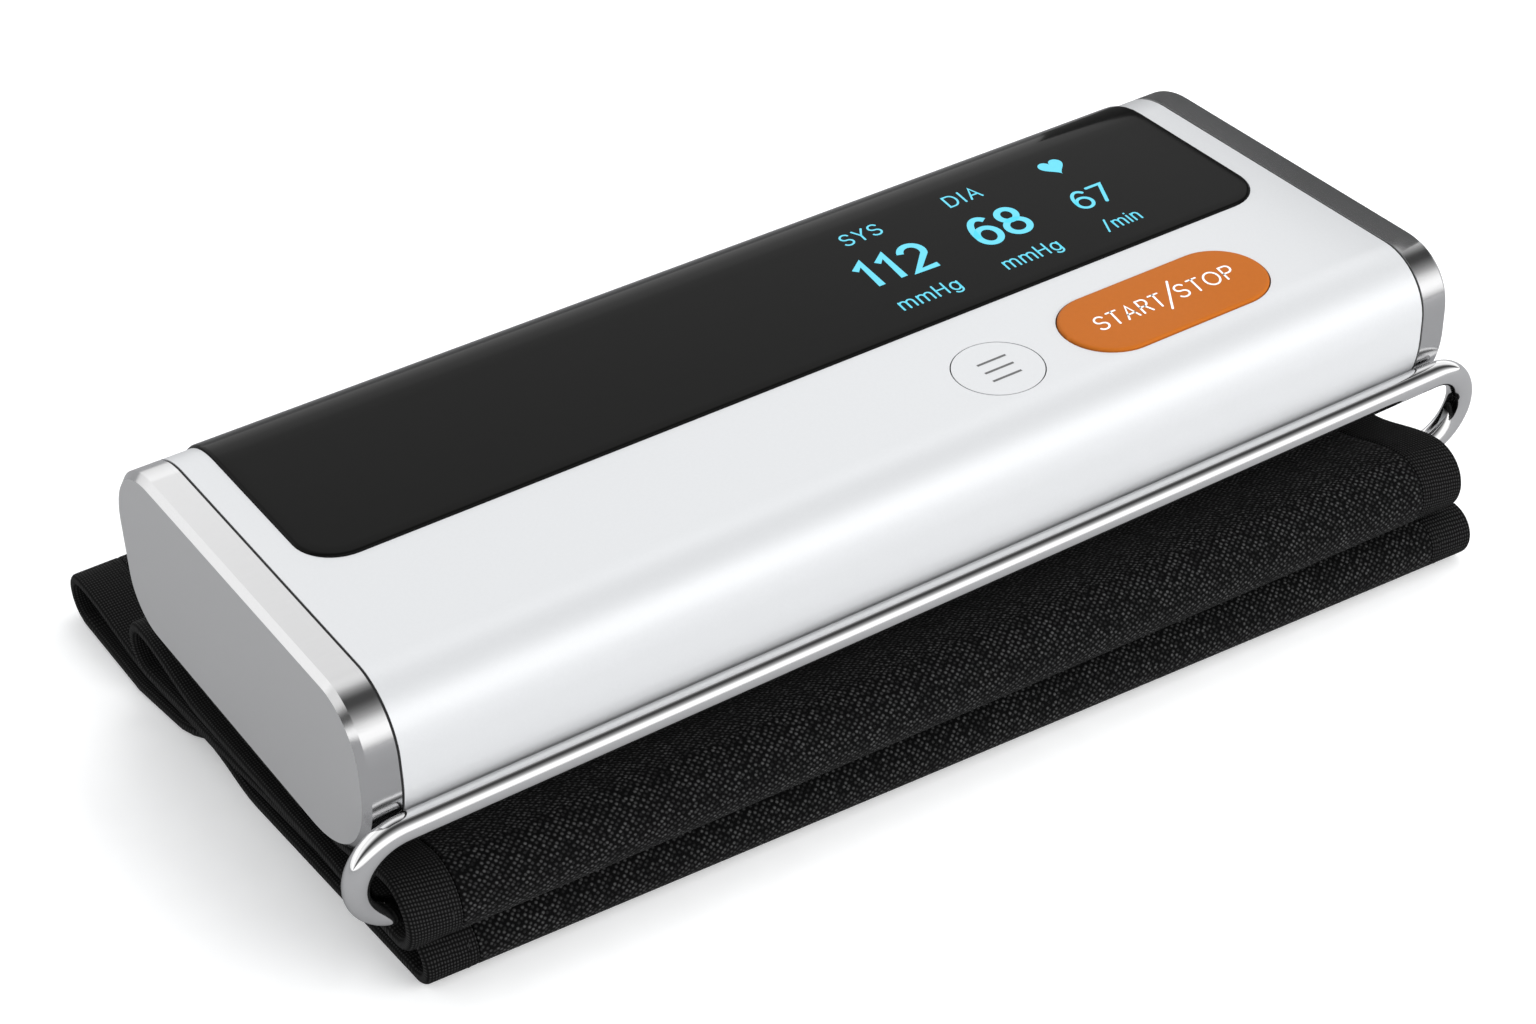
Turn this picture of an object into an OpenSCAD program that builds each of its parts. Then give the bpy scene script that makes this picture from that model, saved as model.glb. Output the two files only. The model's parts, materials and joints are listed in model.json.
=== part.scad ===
/* [Housing] */
// Length over both end caps
body_l = 140; // [136:1:160]
// Depth, front to back
body_d = 57; // [56.5:0.5:64]
// Height of the housing
body_h = 23.5; // [23:0.1:26]
// Wall of the extruded sleeve
wall = 1.6; // [1.3:0.1:2]
// Round along the top front edge
top_front_r = 7; // [5:0.5:9]
// Large round along the bottom front edge
low_front_r = 14; // [11:0.5:14]
// Round along the top back edge
top_back_r = 10.6; // [8:0.2:11]
// Round along the bottom back edge
low_back_r = 6; // [4:0.5:8]

/* [End caps] */
// Thickness of each metal end cap
cap_t = 4; // [3:0.5:6]
// Chamfer round the outer edge of a cap
cap_chamfer = 0.75; // [0.4:0.05:1.2]
// Depth of the cap's spigot in the sleeve
spigot_l = 3; // [2:0.5:4]
// Wall of the spigot
spigot_t = 1.2; // [0.8:0.1:1.6]
// Thickness of the gasket between cap and sleeve
gasket_t = 0.3; // [0.2:0.05:0.6]

/* [Glass panel] */
// Distance from each end of the housing to the glass
glass_margin = 7.8; // [6:0.1:12]
// Distance from the housing's front face to the glass
glass_inset = 23.1; // [22.5:0.1:26]
// Thickness of the glass
glass_t = 1.4; // [1.2:0.1:1.8]
// How far the glass stands proud of the sleeve
glass_proud = 0.3; // [0.2:0.05:0.7]
// Round of the glass's front corners
glass_corner_r = 5; // [3:0.5:8]
// Round of the glass's back corners
glass_back_corner_r = 3; // [2:0.5:5]
// Angle above level at which the glass ends on the back round
glass_end_angle = 20; // [5:1:50]

/* [Display] */
// Length of the display module
display_l = 54; // [40:1:55]
// Depth of the display module
display_d = 20; // [16:0.5:20.4]
// Thickness of the display module
display_t = 2.1; // [1.6:0.1:2.6]
// Distance from the right end of the housing to the display
display_inset = 10; // [9:0.5:14]

/* [Buttons] */
// Length of the start button
start_l = 27; // [24:0.2:28.4]
// Width of the start button
start_w = 11.6; // [10:0.2:12.4]
// Distance from the right end to the start button's middle
start_inset = 32.4; // [30:0.2:34]
// Diameter of the memory button
memory_d = 10.2; // [8:0.2:10.8]
// Distance between the middles of the two buttons
button_pitch = 23; // [22.4:0.1:24]
// Distance from the housing's front face to both buttons' middles
button_inset = 12.1; // [11:0.1:13]
// How far the start button stands proud
start_proud = 0.3; // [0:0.05:0.6]
// Travel of the start button
start_travel = 0.6; // [0.3:0.05:0.8]
// Travel of the memory button
memory_travel = 0.5; // [0.3:0.05:0.8]
// Gap round each button
button_gap = 0.15; // [0.1:0.01:0.25]
// Height of a tactile switch
switch_h = 2.6; // [2:0.1:3]

/* [Electronics] */
// Length of the main board
board_l = 58; // [54:1:60]
// Depth of the main board
board_d = 44; // [38:1:45]
// Thickness of the main board
board_t = 1.2; // [0.8:0.1:1.6]
// Gap between each end of the battery and the board's posts
battery_gap = 1.5; // [1.2:0.1:5]
// Width of the battery
battery_w = 30; // [20:1:30]
// Thickness of the battery
battery_t = 7; // [4:0.5:8]
// Length of the charging socket's shell
port_l = 9.5; // [9:0.1:11]
// Width of the charging socket's shell
port_w = 9; // [8.5:0.1:9.5]
// Height of the charging socket's shell
port_h = 3.2; // [3:0.1:3.4]

/* [Air system] */
// Diameter of the pump's motor
motor_d = 17.6; // [15:0.2:17.8]
// Length of the pump's motor
motor_l = 21; // [18:1:24]
// Length of the pump's head
head_l = 15; // [12:1:17]
// Width and height of the pump's head
head_w = 17; // [14:0.5:17.5]
// Outside diameter of the air tubes
tube_d = 4; // [3.4:0.1:4.6]
// Bore of the air tubes
tube_bore = 2.2; // [1.6:0.1:2.6]
// Length of each short air tube
tube_l = 4; // [3:0.5:6]
// Width of the exhaust valve
valve_w = 9; // [7:0.5:10]
// Diameter of the cuff's air nipple
nipple_d = 6; // [5:0.2:7]

/* [Cuff] */
// Width of the cuff strip, along the housing
strip_w = 135.4; // [126:0.2:138]
// Thickness of the strip
strip_t = 1.4; // [1.2:0.1:1.6]
// Width of the binding along each side edge
hem_w = 6; // [4:0.5:10]
// Height over the lower front fold
low_fold_h = 6.8; // [6.4:0.1:8]
// Height over the upper front fold
up_fold_h = 9; // [8.8:0.1:10]
// Rise of the upper fold above the housing's base
fold_rise = 2.2; // [1.8:0.1:2.6]
// Lower front fold's centre in front of the middle, left end
low_fold_left = 26.6; // [26:0.2:30]
// Lower front fold's centre in front of the middle, right end
low_fold_right = 33.8; // [30:0.2:36]
// Upper front fold's centre in front of the middle, left end
up_fold_left = 27.6; // [27:0.1:28.5]
// Upper front fold's centre in front of the middle, right end
up_fold_right = 32.4; // [29:0.2:34]
// Back fold's centre behind the middle
back_fold_y = 47; // [40:0.5:52]
// Height over the back fold
back_fold_h = 7; // [6.8:0.1:8]
// Inner back fold's centre behind the middle
mid_fold_y = 28.5; // [24:0.5:32]
// Height over the inner back fold
mid_fold_h = 7.4; // [7:0.1:8]
// Free end of the strip behind the middle
free_end_y = 17.5; // [14:0.5:20]
// Length of the hook patch near the free end
patch_l = 20; // [14:1:24]
// Thickness of the hook patch
patch_t = 0.6; // [0.4:0.05:0.7]
// Depth of the anchor panel under the housing
anchor_d = 32; // [28:0.5:33]
// Thickness of the clamp plate
clamp_t = 1.2; // [1:0.1:1.5]

/* [Wire ring] */
// How far the ring's wire centre reaches past each side of the strip
ring_over = 4.8; // [4:0.1:6]
// Height of the ring between its wire centres
ring_h = 10.9; // [10.4:0.1:13]
// Diameter of the wire
wire_d = 3; // [2.4:0.1:3.4]
// Running clearance of the wire in its sleeve
wire_clear = 0.06; // [0.02:0.01:0.1]
// Wall of the webbing sleeve round the wire
sleeve_t = 0.4; // [0.3:0.05:0.5]
// Sideways place of the ring, where the photograph shows it
ring_shift = 0.3; // [-1:0.1:1]
// Gap between the ring and the housing front
ring_gap = 0.2; // [0.1:0.05:0.5]

/* [Hidden] */
$fn = 64;

fit = 0.05;              // play between pieces that seat on each other
eps = 0.5;               // overrun of a cutting shape

// The display, board and pump are given as they are in a 140 by 57 mm
// housing, and grow and shrink with it
std_l = 140;
std_d = 57;
board_len = board_l * body_l / std_l;
motor_len = motor_l * body_l / std_l;
head_len = head_l * body_l / std_l;
display_deep = display_d + body_d - std_d;

// The cuff's stack, from the surface it lies on
half_t = strip_t / 2;
low_r = (low_fold_h - strip_t) / 2;
up_r = (up_fold_h - strip_t) / 2;
back_r = (back_fold_h - strip_t) / 2;
mid_r = (mid_fold_h - strip_t) / 2;
layer_gap = 0.2;
up_fold_z = low_fold_h + layer_gap + up_fold_h / 2;
body_z = low_fold_h + layer_gap + up_fold_h - fold_rise;
over_free_end_z = 1.5 * strip_t + patch_t + 0.2;
mid_fold_z = over_free_end_z + strip_t + 0.8 + mid_r;
lower_sag_z = over_free_end_z + strip_t + 0.4;
upper_sag_z = up_fold_z - up_r + 0.5;
strip_end_y = -10;

// The housing's sections along its length
ring_l = strip_w + 2 * ring_over;
glass_l = body_l - 2 * glass_margin;
glass_front = body_d / 2 - glass_inset;
button_y = body_d / 2 - button_inset;
display_x = body_l / 2 - display_inset - display_l / 2;
start_x = body_l / 2 - start_inset;
memory_x = start_x - button_pitch;
sleeve_half = body_l / 2 - cap_t - gasket_t;
cap_half = body_l / 2 - cap_t;
flat_top = body_h - wall;
glass_in = glass_t - glass_proud;
glass_back_y = body_d / 2 - top_back_r;
glass_low_z = body_h - top_back_r + top_back_r * sin(glass_end_angle);

// Heights above the housing's base
floor_t = 1;
floor_z = wall + fit;
seat_z = floor_z + floor_t + fit;
board_z = 14;
board_top = board_z + board_t;
plunger_h = 0.5;
switch_w = 6;
ear_t = 0.8;
ear_z = flat_top - fit - ear_t;
screw_r = 1.2;
screw_head_r = 2.4;
screw_head_h = 1.3;
boss_r = 2.75;
boss_h = 4.4;
boss_x = sleeve_half - 8;
boss_ys = [-4, 9];

// The board and what is on it
board_x0 = sleeve_half - 3.7 - board_len;
board_y0 = 4.5 - body_d / 2;
post_r = 2.5;
post_xs = [board_x0 + 4.5, board_x0 + board_len - 3.5];
post_ys = [board_y0 + 13.2, board_y0 + board_d - 3];
battery_x = (post_xs[0] + post_xs[1]) / 2;
battery_l = post_xs[1] - post_xs[0] - 2 * post_r - 2 * battery_gap;

// The air system
air_x = board_x0 - 8;
air_y = 2;
air_z = 9;
manifold_w = 11;
manifold_h = board_z - 0.5 - seat_z;
nipple_r = nipple_d / 2;
barb_r = tube_bore / 2 - fit;
barb_l = 1.6;
head_x1 = air_x - manifold_w / 2 - tube_l - 2 * fit;
head_x0 = head_x1 - head_len;
motor_x0 = head_x0 - motor_len;
motor_z = seat_z + 0.6 + motor_d / 2;
valve_y = air_y + manifold_w / 2 + tube_l + 2 * fit + valve_w / 2;
sensor_x = air_x + manifold_w / 2 + tube_l + 2 * fit;
sensor_w = 8;
sensor_h = board_z - fit - seat_z - battery_t - 0.6;
sensor_z = board_z - fit - sensor_h;
sensor_port_z = board_z - 0.2 - tube_d / 2;

// The ring turns about its lower bar, which the upper front fold holds.
// Its upper bar rests at ring_gap from the housing's large front round.
wire_r = wire_d / 2;
axis_y = -up_fold_left - 0.7;
axis_z = up_fold_z + 0.3;
round_y = -body_d / 2 + low_front_r;
round_z = body_z + low_front_r;
reach = low_front_r + wire_r + ring_gap;
span = norm([round_y - axis_y, round_z - axis_z]);
along = (ring_h * ring_h - reach * reach + span * span) / (2 * span);
aside = sqrt(ring_h * ring_h - along * along);
dir_y = (round_y - axis_y) / span;
dir_z = (round_z - axis_z) / span;
lean_y = along * dir_y - aside * dir_z;
lean_z = along * dir_z + aside * dir_y;
ring_lean = atan2(-lean_y, lean_z);

// ---- shapes shared by several pieces ----

// Lays a flat outline, drawn in depth and height, along the length
module along_x(x0, len) {
    translate([x0, 0, 0]) rotate([90, 0, 90]) linear_extrude(height = len) children();
}

// The housing's section in depth and height, shrunk by inset
module section(inset = 0) {
    top = body_h - inset;
    back = body_d / 2;
    rounds = [
        [back - top_back_r, body_h - top_back_r, top_back_r, 0],
        [top_front_r - back, body_h - top_front_r, top_front_r, 90],
        [low_front_r - back, low_front_r, low_front_r, 180],
        [back - low_back_r, low_back_r, low_back_r, 270]
    ];
    for (r = rounds) translate([r[0], r[1]]) intersection() {
        circle(r = r[2] - inset, $fn = 128);
        rotate(r[3]) square(r[2]);
    }
    polygon([
        [back - top_back_r, top], [top_front_r - back, top],
        [inset - back, body_h - top_front_r], [inset - back, low_front_r],
        [low_front_r - back, inset], [back - low_back_r, inset],
        [back - inset, low_back_r], [back - inset, body_h - top_back_r]
    ]);
}

// A flat-sided shape with round ends, standing on the XY plane
module obround(len, wid, h) {
    straight = len - wid;
    for (s = [-1, 1]) translate([s * straight / 2, 0, 0]) cylinder(d = wid, h = h);
    translate([-straight / 2, -wid / 2, 0]) cube([straight, wid, h]);
}

// The glass: a band that runs over the flat top and down the back round
module glass_band(out, deep, grow) {
    cy = body_d / 2 - top_back_r;
    cz = body_h - top_back_r;
    r_out = top_back_r + out;
    r_in = top_back_r - deep;
    far = 2 * body_d;
    end_a = glass_end_angle - grow * 5;
    translate([-glass_front - grow, body_h - deep])
        square([cy + glass_front + grow, deep + out]);
    intersection() {
        difference() {
            translate([cy, cz]) circle(r = r_out, $fn = 128);
            translate([cy, cz]) circle(r = r_in, $fn = 128);
        }
        polygon([
            [cy, cz], [cy + far * cos(end_a), cz + far * sin(end_a)],
            [cy + far, cz + far], [cy, cz + far]
        ]);
    }
}

module glass_shape(out, deep, grow) {
    half = glass_l / 2 + grow;
    rf = glass_corner_r + grow;
    rb = glass_back_corner_r + grow;
    front = -glass_front - grow;
    low = glass_low_z - grow * 2;
    intersection() {
        along_x(-half, 2 * half) glass_band(out, deep, grow);
        union() {
            for (s = [-1, 1]) translate([s * (half - rf), front + rf, 0])
                cylinder(r = rf, h = body_h + 5);
            translate([-half, front + rf, 0]) cube([2 * half, body_d, body_h + 5]);
            translate([rf - half, front, 0]) cube([2 * half - 2 * rf, rf, body_h + 5]);
        }
        union() {
            for (s = [-1, 1]) translate([s * (half - rb), 0, low + rb])
                rotate([90, 0, 0]) cylinder(r = rb, h = 2 * body_d, center = true);
            translate([-half, -body_d, low + rb]) cube([2 * half, 2 * body_d, body_h]);
            translate([rb - half, -body_d, low]) cube([2 * half - 2 * rb, 2 * body_d, rb]);
        }
    }
}

// ---- the cuff strip's course through its folds ----
// Each point is [depth, height, sideways shift]; u runs from the left end, 0,
// to the right end, 1. The order is free end, back fold, lower front fold,
// inner back fold, upper front fold, anchor edge.
fold_steps = 10;
run_steps = 11;
free_shift = -0.7;
back_shift = -2.3;
low_shift = 1.25;
mid_shift = -2.4;
up_shift = -1;
anchor_shift = -1.5;

function ease(t) = let (c = min(1, max(0, t))) c * c * (3 - 2 * c);
function mix(a, b, t) = a + (b - a) * t;
function fold(cy, cz, r, from, to, shift) = [
    for (i = [0:fold_steps]) let (a = mix(from, to, i / fold_steps))
        [cy + r * cos(a), cz + r * sin(a), shift]
];
function inner_steps(from, to) = [
    for (i = [1:run_steps - 1]) mix(from, to, i / run_steps)
];
function run_1(f1) = let (top = half_t + 2 * back_r) [
    for (y = inner_steps(back_fold_y, f1)) [
        y,
        mix(top, over_free_end_z, ease((back_fold_y - y) / 17))
            - (over_free_end_z - half_t) * ease((free_end_y - 1 - y) / 10),
        mix(back_shift, low_shift, (back_fold_y - y) / (back_fold_y - f1))
    ]
];
function run_2(f1) = let (from = half_t + 2 * low_r, to = mid_fold_z - mid_r) [
    for (y = inner_steps(f1, mid_fold_y)) [
        y,
        mix(from, lower_sag_z, ease((y - f1) / 22))
            + (to - lower_sag_z) * ease((y - mid_fold_y + 22) / 16),
        mix(low_shift, mid_shift, (y - f1) / (mid_fold_y - f1))
    ]
];
function run_3(f2) = let (from = mid_fold_z + mid_r, to = up_fold_z - up_r) [
    for (y = inner_steps(mid_fold_y, f2)) [
        y,
        mix(from, upper_sag_z, ease((mid_fold_y - y) / 14))
            + (to - upper_sag_z) * ease((f2 + 16 - y) / 14),
        mix(mid_shift, up_shift, (mid_fold_y - y) / (mid_fold_y - f2))
    ]
];
function run_4(f2) = let (from = up_fold_z + up_r, to = body_z - fit - half_t) [
    for (y = inner_steps(f2, strip_end_y)) [
        y,
        mix(from, to, ease((y - f2) / 11)),
        mix(up_shift, anchor_shift, (y - f2) / (strip_end_y - f2))
    ]
];
function course(u) = let (
    f1 = -mix(low_fold_left, low_fold_right, u),
    f2 = -mix(up_fold_left, up_fold_right, u)
) concat(
    [for (k = [0, 0.5]) [mix(free_end_y, back_fold_y, k), half_t, mix(free_shift, back_shift, k)]],
    fold(back_fold_y, half_t + back_r, back_r, -90, 90, back_shift),
    run_1(f1),
    fold(f1, half_t + low_r, low_r, -90, -270, low_shift),
    run_2(f1),
    fold(mid_fold_y, mid_fold_z, mid_r, -90, 90, mid_shift),
    run_3(f2),
    fold(f2, up_fold_z, up_r, -90, -270, up_shift),
    run_4(f2),
    [[strip_end_y, body_z - fit - half_t, anchor_shift]]
);
// The outline of a sheet between two distances from the course, at u
function sheet_loop(u, low, high, from, to) = let (
    p = course(u),
    last = len(p) - 1,
    n = [for (i = [0:last]) let (
        a = p[max(0, i - 1)], b = p[min(last, i + 1)], d = norm([b[0] - a[0], b[1] - a[1]])
    ) [-(b[1] - a[1]) / d, (b[0] - a[0]) / d]],
    x = (u - 0.5) * strip_w,
    stop = to < 0 ? last : to
) concat(
    [for (i = [from:stop]) [x + p[i][2], p[i][0] + high * n[i][0], p[i][1] + high * n[i][1]]],
    [for (i = [stop:-1:from]) [x + p[i][2], p[i][0] + low * n[i][0], p[i][1] + low * n[i][1]]]
);

// A closed sheet that follows the course between two places across the strip
module sheet(u0, u1, low, high, from = 0, to = -1) {
    a = sheet_loop(u0, low, high, from, to);
    b = sheet_loop(u1, low, high, from, to);
    m = len(a);
    half = m / 2;
    polyhedron(
        points = concat(a, b),
        faces = concat(
            [for (k = [0:m - 1]) let (q = (k + 1) % m) [k, q, m + q]],
            [for (k = [0:m - 1]) let (q = (k + 1) % m) [k, m + q, m + k]],
            [for (k = [0:half - 2]) [k, m - 1 - k, k + 1]],
            [for (k = [0:half - 2]) [k + 1, m - 1 - k, m - 2 - k]],
            [for (k = [0:half - 2]) [m + k, m + k + 1, 2 * m - 1 - k]],
            [for (k = [0:half - 2]) [m + k + 1, 2 * m - 2 - k, 2 * m - 1 - k]]
        ),
        convexity = 10
    );
}

// ---- housing ----

module housing_shell() color("gainsboro") translate([0, 0, body_z]) {
    difference() {
        along_x(-sleeve_half, 2 * sleeve_half) difference() {
            section(0);
            section(wall);
        }
        glass_shape(eps, glass_in, fit);
        translate([display_x - display_l / 2 - 0.3, -display_y_half() - 0.3, flat_top - eps])
            cube([display_l + 0.6, display_deep + 0.6, wall + 1]);
        translate([start_x, -button_y, flat_top - eps])
            obround(start_l + 2 * button_gap, start_w + 2 * button_gap, wall + 1);
        translate([memory_x, -button_y, flat_top - eps])
            cylinder(d = memory_d + 2 * button_gap, h = wall + 1);
        translate([air_x, air_y, -eps]) cylinder(r = nipple_r + 0.4, h = wall + 2 * eps);
        for (x = [-boss_x, boss_x], y = boss_ys)
            translate([x, y, -eps]) cylinder(r = screw_r + fit, h = wall + 2 * eps);
    }
    for (x = [-boss_x, boss_x], y = boss_ys) translate([x, y, wall - 0.01]) difference() {
        cylinder(r = boss_r, h = boss_h);
        translate([0, 0, -eps]) cylinder(r = screw_r + fit, h = boss_h + 2 * eps);
    }
}

// The display stands this far in front of the middle
function display_y_half() = glass_front - 2.4;

// The housing's full section with a chamfer cut round its outer edge: one
// straight cut along each side and a conical one round each corner
module cap_block() {
    back = body_d / 2;
    reach = 0.2;
    flat = cap_t - cap_chamfer;
    rounds = [
        [back - top_back_r, body_h - top_back_r, top_back_r, 0],
        [top_front_r - back, body_h - top_front_r, top_front_r, 90],
        [low_front_r - back, low_front_r, low_front_r, 180],
        [back - low_back_r, low_back_r, low_back_r, 270]
    ];
    sides = [
        [low_front_r - back, 0, 0, body_d - low_front_r - low_back_r],
        [back, low_back_r, 90, body_h - low_back_r - top_back_r],
        [back - top_back_r, body_h, 180, body_d - top_back_r - top_front_r],
        [-back, body_h - top_front_r, 270, body_h - top_front_r - low_front_r]
    ];
    difference() {
        linear_extrude(height = cap_t) section(0);
        for (k = sides) translate([k[0], k[1], 0]) rotate(k[2]) translate([-1, 0, 0])
            rotate([90, 0, 90]) linear_extrude(height = k[3] + 2) polygon([
                [cap_chamfer + reach, cap_t + reach], [-reach, flat - reach],
                [-reach, cap_t + reach]
            ]);
        for (k = rounds) translate([k[0], k[1], 0]) rotate(k[3])
            rotate_extrude(angle = 90, $fn = 128) polygon([
                [k[2] + reach, flat - reach], [k[2] + reach, cap_t + reach],
                [k[2] - cap_chamfer - reach, cap_t + reach]
            ]);
    }
}

// The right-hand cap; the left-hand one is its mirror image
module end_cap() {
    translate([cap_half, 0, 0]) rotate([90, 0, 90]) cap_block();
    along_x(cap_half - spigot_l - gasket_t, spigot_l + gasket_t + cap_t / 4) difference() {
        section(wall + 0.1);
        section(wall + 0.1 + spigot_t);
    }
}

module left_end_cap() color("silver") translate([0, 0, body_z]) mirror([1, 0, 0]) end_cap();

module right_end_cap() color("silver") translate([0, 0, body_z]) difference() {
    end_cap();
    translate([sleeve_half - spigot_l - eps, 0, port_mid_z()])
        port_slot(port_w + 0.3, port_h + 0.3, spigot_l + 2 * cap_t);
}

module gasket(side) {
    along_x(side > 0 ? sleeve_half : -cap_half, gasket_t) difference() {
        section(0.15);
        section(wall);
    }
}

module left_gasket() color("dimgray") translate([0, 0, body_z]) gasket(-1);
module right_gasket() color("dimgray") translate([0, 0, body_z]) gasket(1);

// ---- glass and display ----

module display_window() color("black") translate([0, 0, body_z])
    glass_shape(glass_proud, glass_in - fit, 0);

module display_module() color("darkslategray")
    translate([display_x - display_l / 2, -display_y_half(), body_z + body_h - glass_in - display_t])
        cube([display_l, display_deep, display_t]);

module display_flex() color("peru") {
    x = display_x - display_l / 2 + 3;
    top = body_h - glass_in - display_t - fit;
    t = 0.3;
    translate([0, 4, body_z]) rotate([90, 0, 0]) linear_extrude(height = 12, center = true)
        polygon([
            [x, board_top + fit], [x + 5, board_top + fit], [x + 5, board_top + fit + t],
            [x + t, board_top + fit + t], [x + t, top - t], [x + 3, top - t], [x + 3, top],
            [x, top]
        ]);
}

// ---- buttons and their switches ----

function stem_z(travel) = board_top + fit + switch_h + plunger_h + travel + fit;

module start_button() color("chocolate") translate([start_x, -button_y, body_z]) {
    translate([0, 0, flat_top - fit]) obround(start_l, start_w, wall + fit + start_proud);
    translate([-start_l / 2 - 1.6, -3, ear_z]) cube([start_l + 3.2, 6, ear_t]);
    translate([0, 0, stem_z(start_travel)])
        cylinder(d = 3, h = ear_z - stem_z(start_travel) + 0.1);
}

module memory_button() color("whitesmoke") translate([memory_x, -button_y, body_z]) {
    translate([0, 0, flat_top - fit]) cylinder(d = memory_d, h = wall + fit);
    translate([-memory_d / 2 - 1.4, -2.5, ear_z]) cube([memory_d + 2.8, 5, ear_t]);
    translate([0, 0, stem_z(memory_travel)])
        cylinder(d = 3, h = ear_z - stem_z(memory_travel) + 0.1);
}

module tactile_switch() {
    translate([-switch_w / 2, -switch_w / 2, 0]) cube([switch_w, switch_w, switch_h]);
    cylinder(d = 3.2, h = switch_h + plunger_h);
}

module start_switch() color("dimgray")
    translate([start_x, -button_y, body_z + board_top + fit]) tactile_switch();

module memory_switch() color("dimgray")
    translate([memory_x, -button_y, body_z + board_top + fit]) tactile_switch();

// ---- electronics ----

module main_board() color("darkgreen") translate([0, 0, body_z + board_z]) difference() {
    translate([board_x0, board_y0, 0]) cube([board_len, board_d, board_t]);
    for (x = post_xs, y = post_ys)
        translate([x, y, -eps]) cylinder(r = 1.1, h = board_t + 2 * eps);
}

module board_screws() color("silver") for (x = post_xs, y = post_ys)
    translate([x, y, body_z + board_top + fit]) {
        cylinder(r = 1.9, h = 1.2);
        translate([0, 0, -board_t - 4]) cylinder(r = 0.9, h = board_t + 4.1);
    }

function port_mid_z() = board_top + fit + port_h / 2;

// A slot with round ends, seen along the length
module port_slot(w, h, len) {
    rotate([90, 0, 90]) {
        for (s = [-1, 1]) translate([s * (w - h) / 2, 0, 0]) cylinder(d = h, h = len);
        translate([-(w - h) / 2, -h / 2, 0]) cube([w - h, h, len]);
    }
}

module charge_port() color("silver")
    translate([body_l / 2 - 0.5 - port_l, 0, body_z + port_mid_z()]) {
        difference() {
            port_slot(port_w, port_h, port_l);
            translate([1, 0, 0]) port_slot(port_w - 0.6, port_h - 0.6, port_l);
        }
        translate([0.9, -3, -0.35]) cube([port_l - 2, 6, 0.7]);
    }

module battery_cell() color("lightslategray")
    translate([battery_x - battery_l / 2, -battery_w / 2, body_z + seat_z])
        cube([battery_l, battery_w, battery_t]);

module inner_chassis() color("whitesmoke") translate([0, 0, body_z]) {
    front = -low_front_d() + 1;
    back = body_d / 2 - low_back_r;
    rib_y = (boss_ys[0] + boss_ys[1]) / 2;
    half = sleeve_half - spigot_l - 0.3;
    difference() {
        union() {
            translate([-half, front, floor_z]) cube([2 * half, back - front, floor_t]);
            for (s = [-1, 1])
                translate([battery_x + s * (battery_l / 2 + 0.8) - 0.5, rib_y - 3, floor_z])
                    cube([1, 6, floor_t + 3]);
        }
        for (x = [-boss_x, boss_x], y = boss_ys)
            translate([x, y, 0]) cylinder(r = boss_r + 0.2, h = 8);
        translate([air_x, air_y, 0]) cylinder(r = nipple_r + 0.6, h = 8);
    }
    for (x = post_xs, y = post_ys) translate([x, y, floor_z]) difference() {
        cylinder(r = post_r, h = board_z - fit - floor_z);
        translate([0, 0, board_z - floor_z - 5]) cylinder(r = 0.95, h = 6);
    }
}

// Where the base's flat part begins, in front of the middle
function low_front_d() = body_d / 2 - low_front_r;

// ---- pump, valve, sensor and their tubes ----

module pump_cradle() color("dimgray") {
    len = motor_len * 0.6;
    wid = motor_d + 4;
    translate([motor_x0 + (motor_len - len) / 2, air_y, body_z]) difference() {
        translate([0, -wid / 2, seat_z]) cube([len, wid, motor_z - seat_z]);
        translate([-eps, 0, motor_z]) rotate([0, 90, 0])
            cylinder(d = motor_d + 2 * fit, h = len + 2 * eps);
    }
}

module pump_motor() color("silver") translate([motor_x0, air_y, body_z + motor_z]) {
    rotate([0, 90, 0]) cylinder(d = motor_d, h = motor_len - fit);
    translate([-1.5, 0, 0]) rotate([0, 90, 0]) cylinder(d = 5, h = 1.6);
}

module pump_head() color("black") translate([head_x0, air_y, body_z]) {
    difference() {
        translate([0, -head_w / 2, seat_z]) cube([head_len, head_w, head_w]);
        for (x = [head_len * 0.35, head_len * 0.7]) for (s = [-1, 1])
            translate([x, s * head_w / 2, seat_z - eps]) cylinder(r = 0.7, h = head_w + 1);
    }
    translate([head_len - 0.1, 0, air_z]) rotate([0, 90, 0]) cylinder(r = barb_r, h = barb_l + 0.1);
}

// A short straight tube between two barbs
module air_tube(len) {
    rotate([0, 90, 0]) difference() {
        cylinder(d = tube_d, h = len);
        translate([0, 0, -eps]) cylinder(d = tube_bore, h = len + 2 * eps);
    }
}

module pump_tube() color("lightgray")
    translate([head_x1 + fit, air_y, body_z + air_z]) air_tube(tube_l);

module valve_tube() color("lightgray")
    translate([air_x, air_y + manifold_w / 2 + fit, body_z + air_z]) rotate([0, 0, 90])
        air_tube(tube_l);

module sensor_tube() color("lightgray")
    translate([air_x + manifold_w / 2 + fit, air_y, body_z + sensor_port_z]) air_tube(tube_l);

module barb_stub(h = barb_l + 0.1) {
    rotate([0, 90, 0]) cylinder(r = barb_r, h = h);
}

module air_manifold() color("gray") translate([air_x, air_y, body_z]) {
    half = manifold_w / 2;
    difference() {
        translate([-half, -half, seat_z]) cube([manifold_w, manifold_w, manifold_h]);
        translate([0, 0, seat_z - eps]) cylinder(r = nipple_r + 0.1, h = 5);
        translate([0, 0, seat_z]) cylinder(r = 1, h = air_z - seat_z + 1);
    }
    translate([-half - barb_l, 0, air_z]) barb_stub();
    translate([half - 0.1, 0, sensor_port_z]) barb_stub();
    translate([0, half - 0.1, air_z]) rotate([0, 0, 90]) barb_stub();
}

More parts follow.
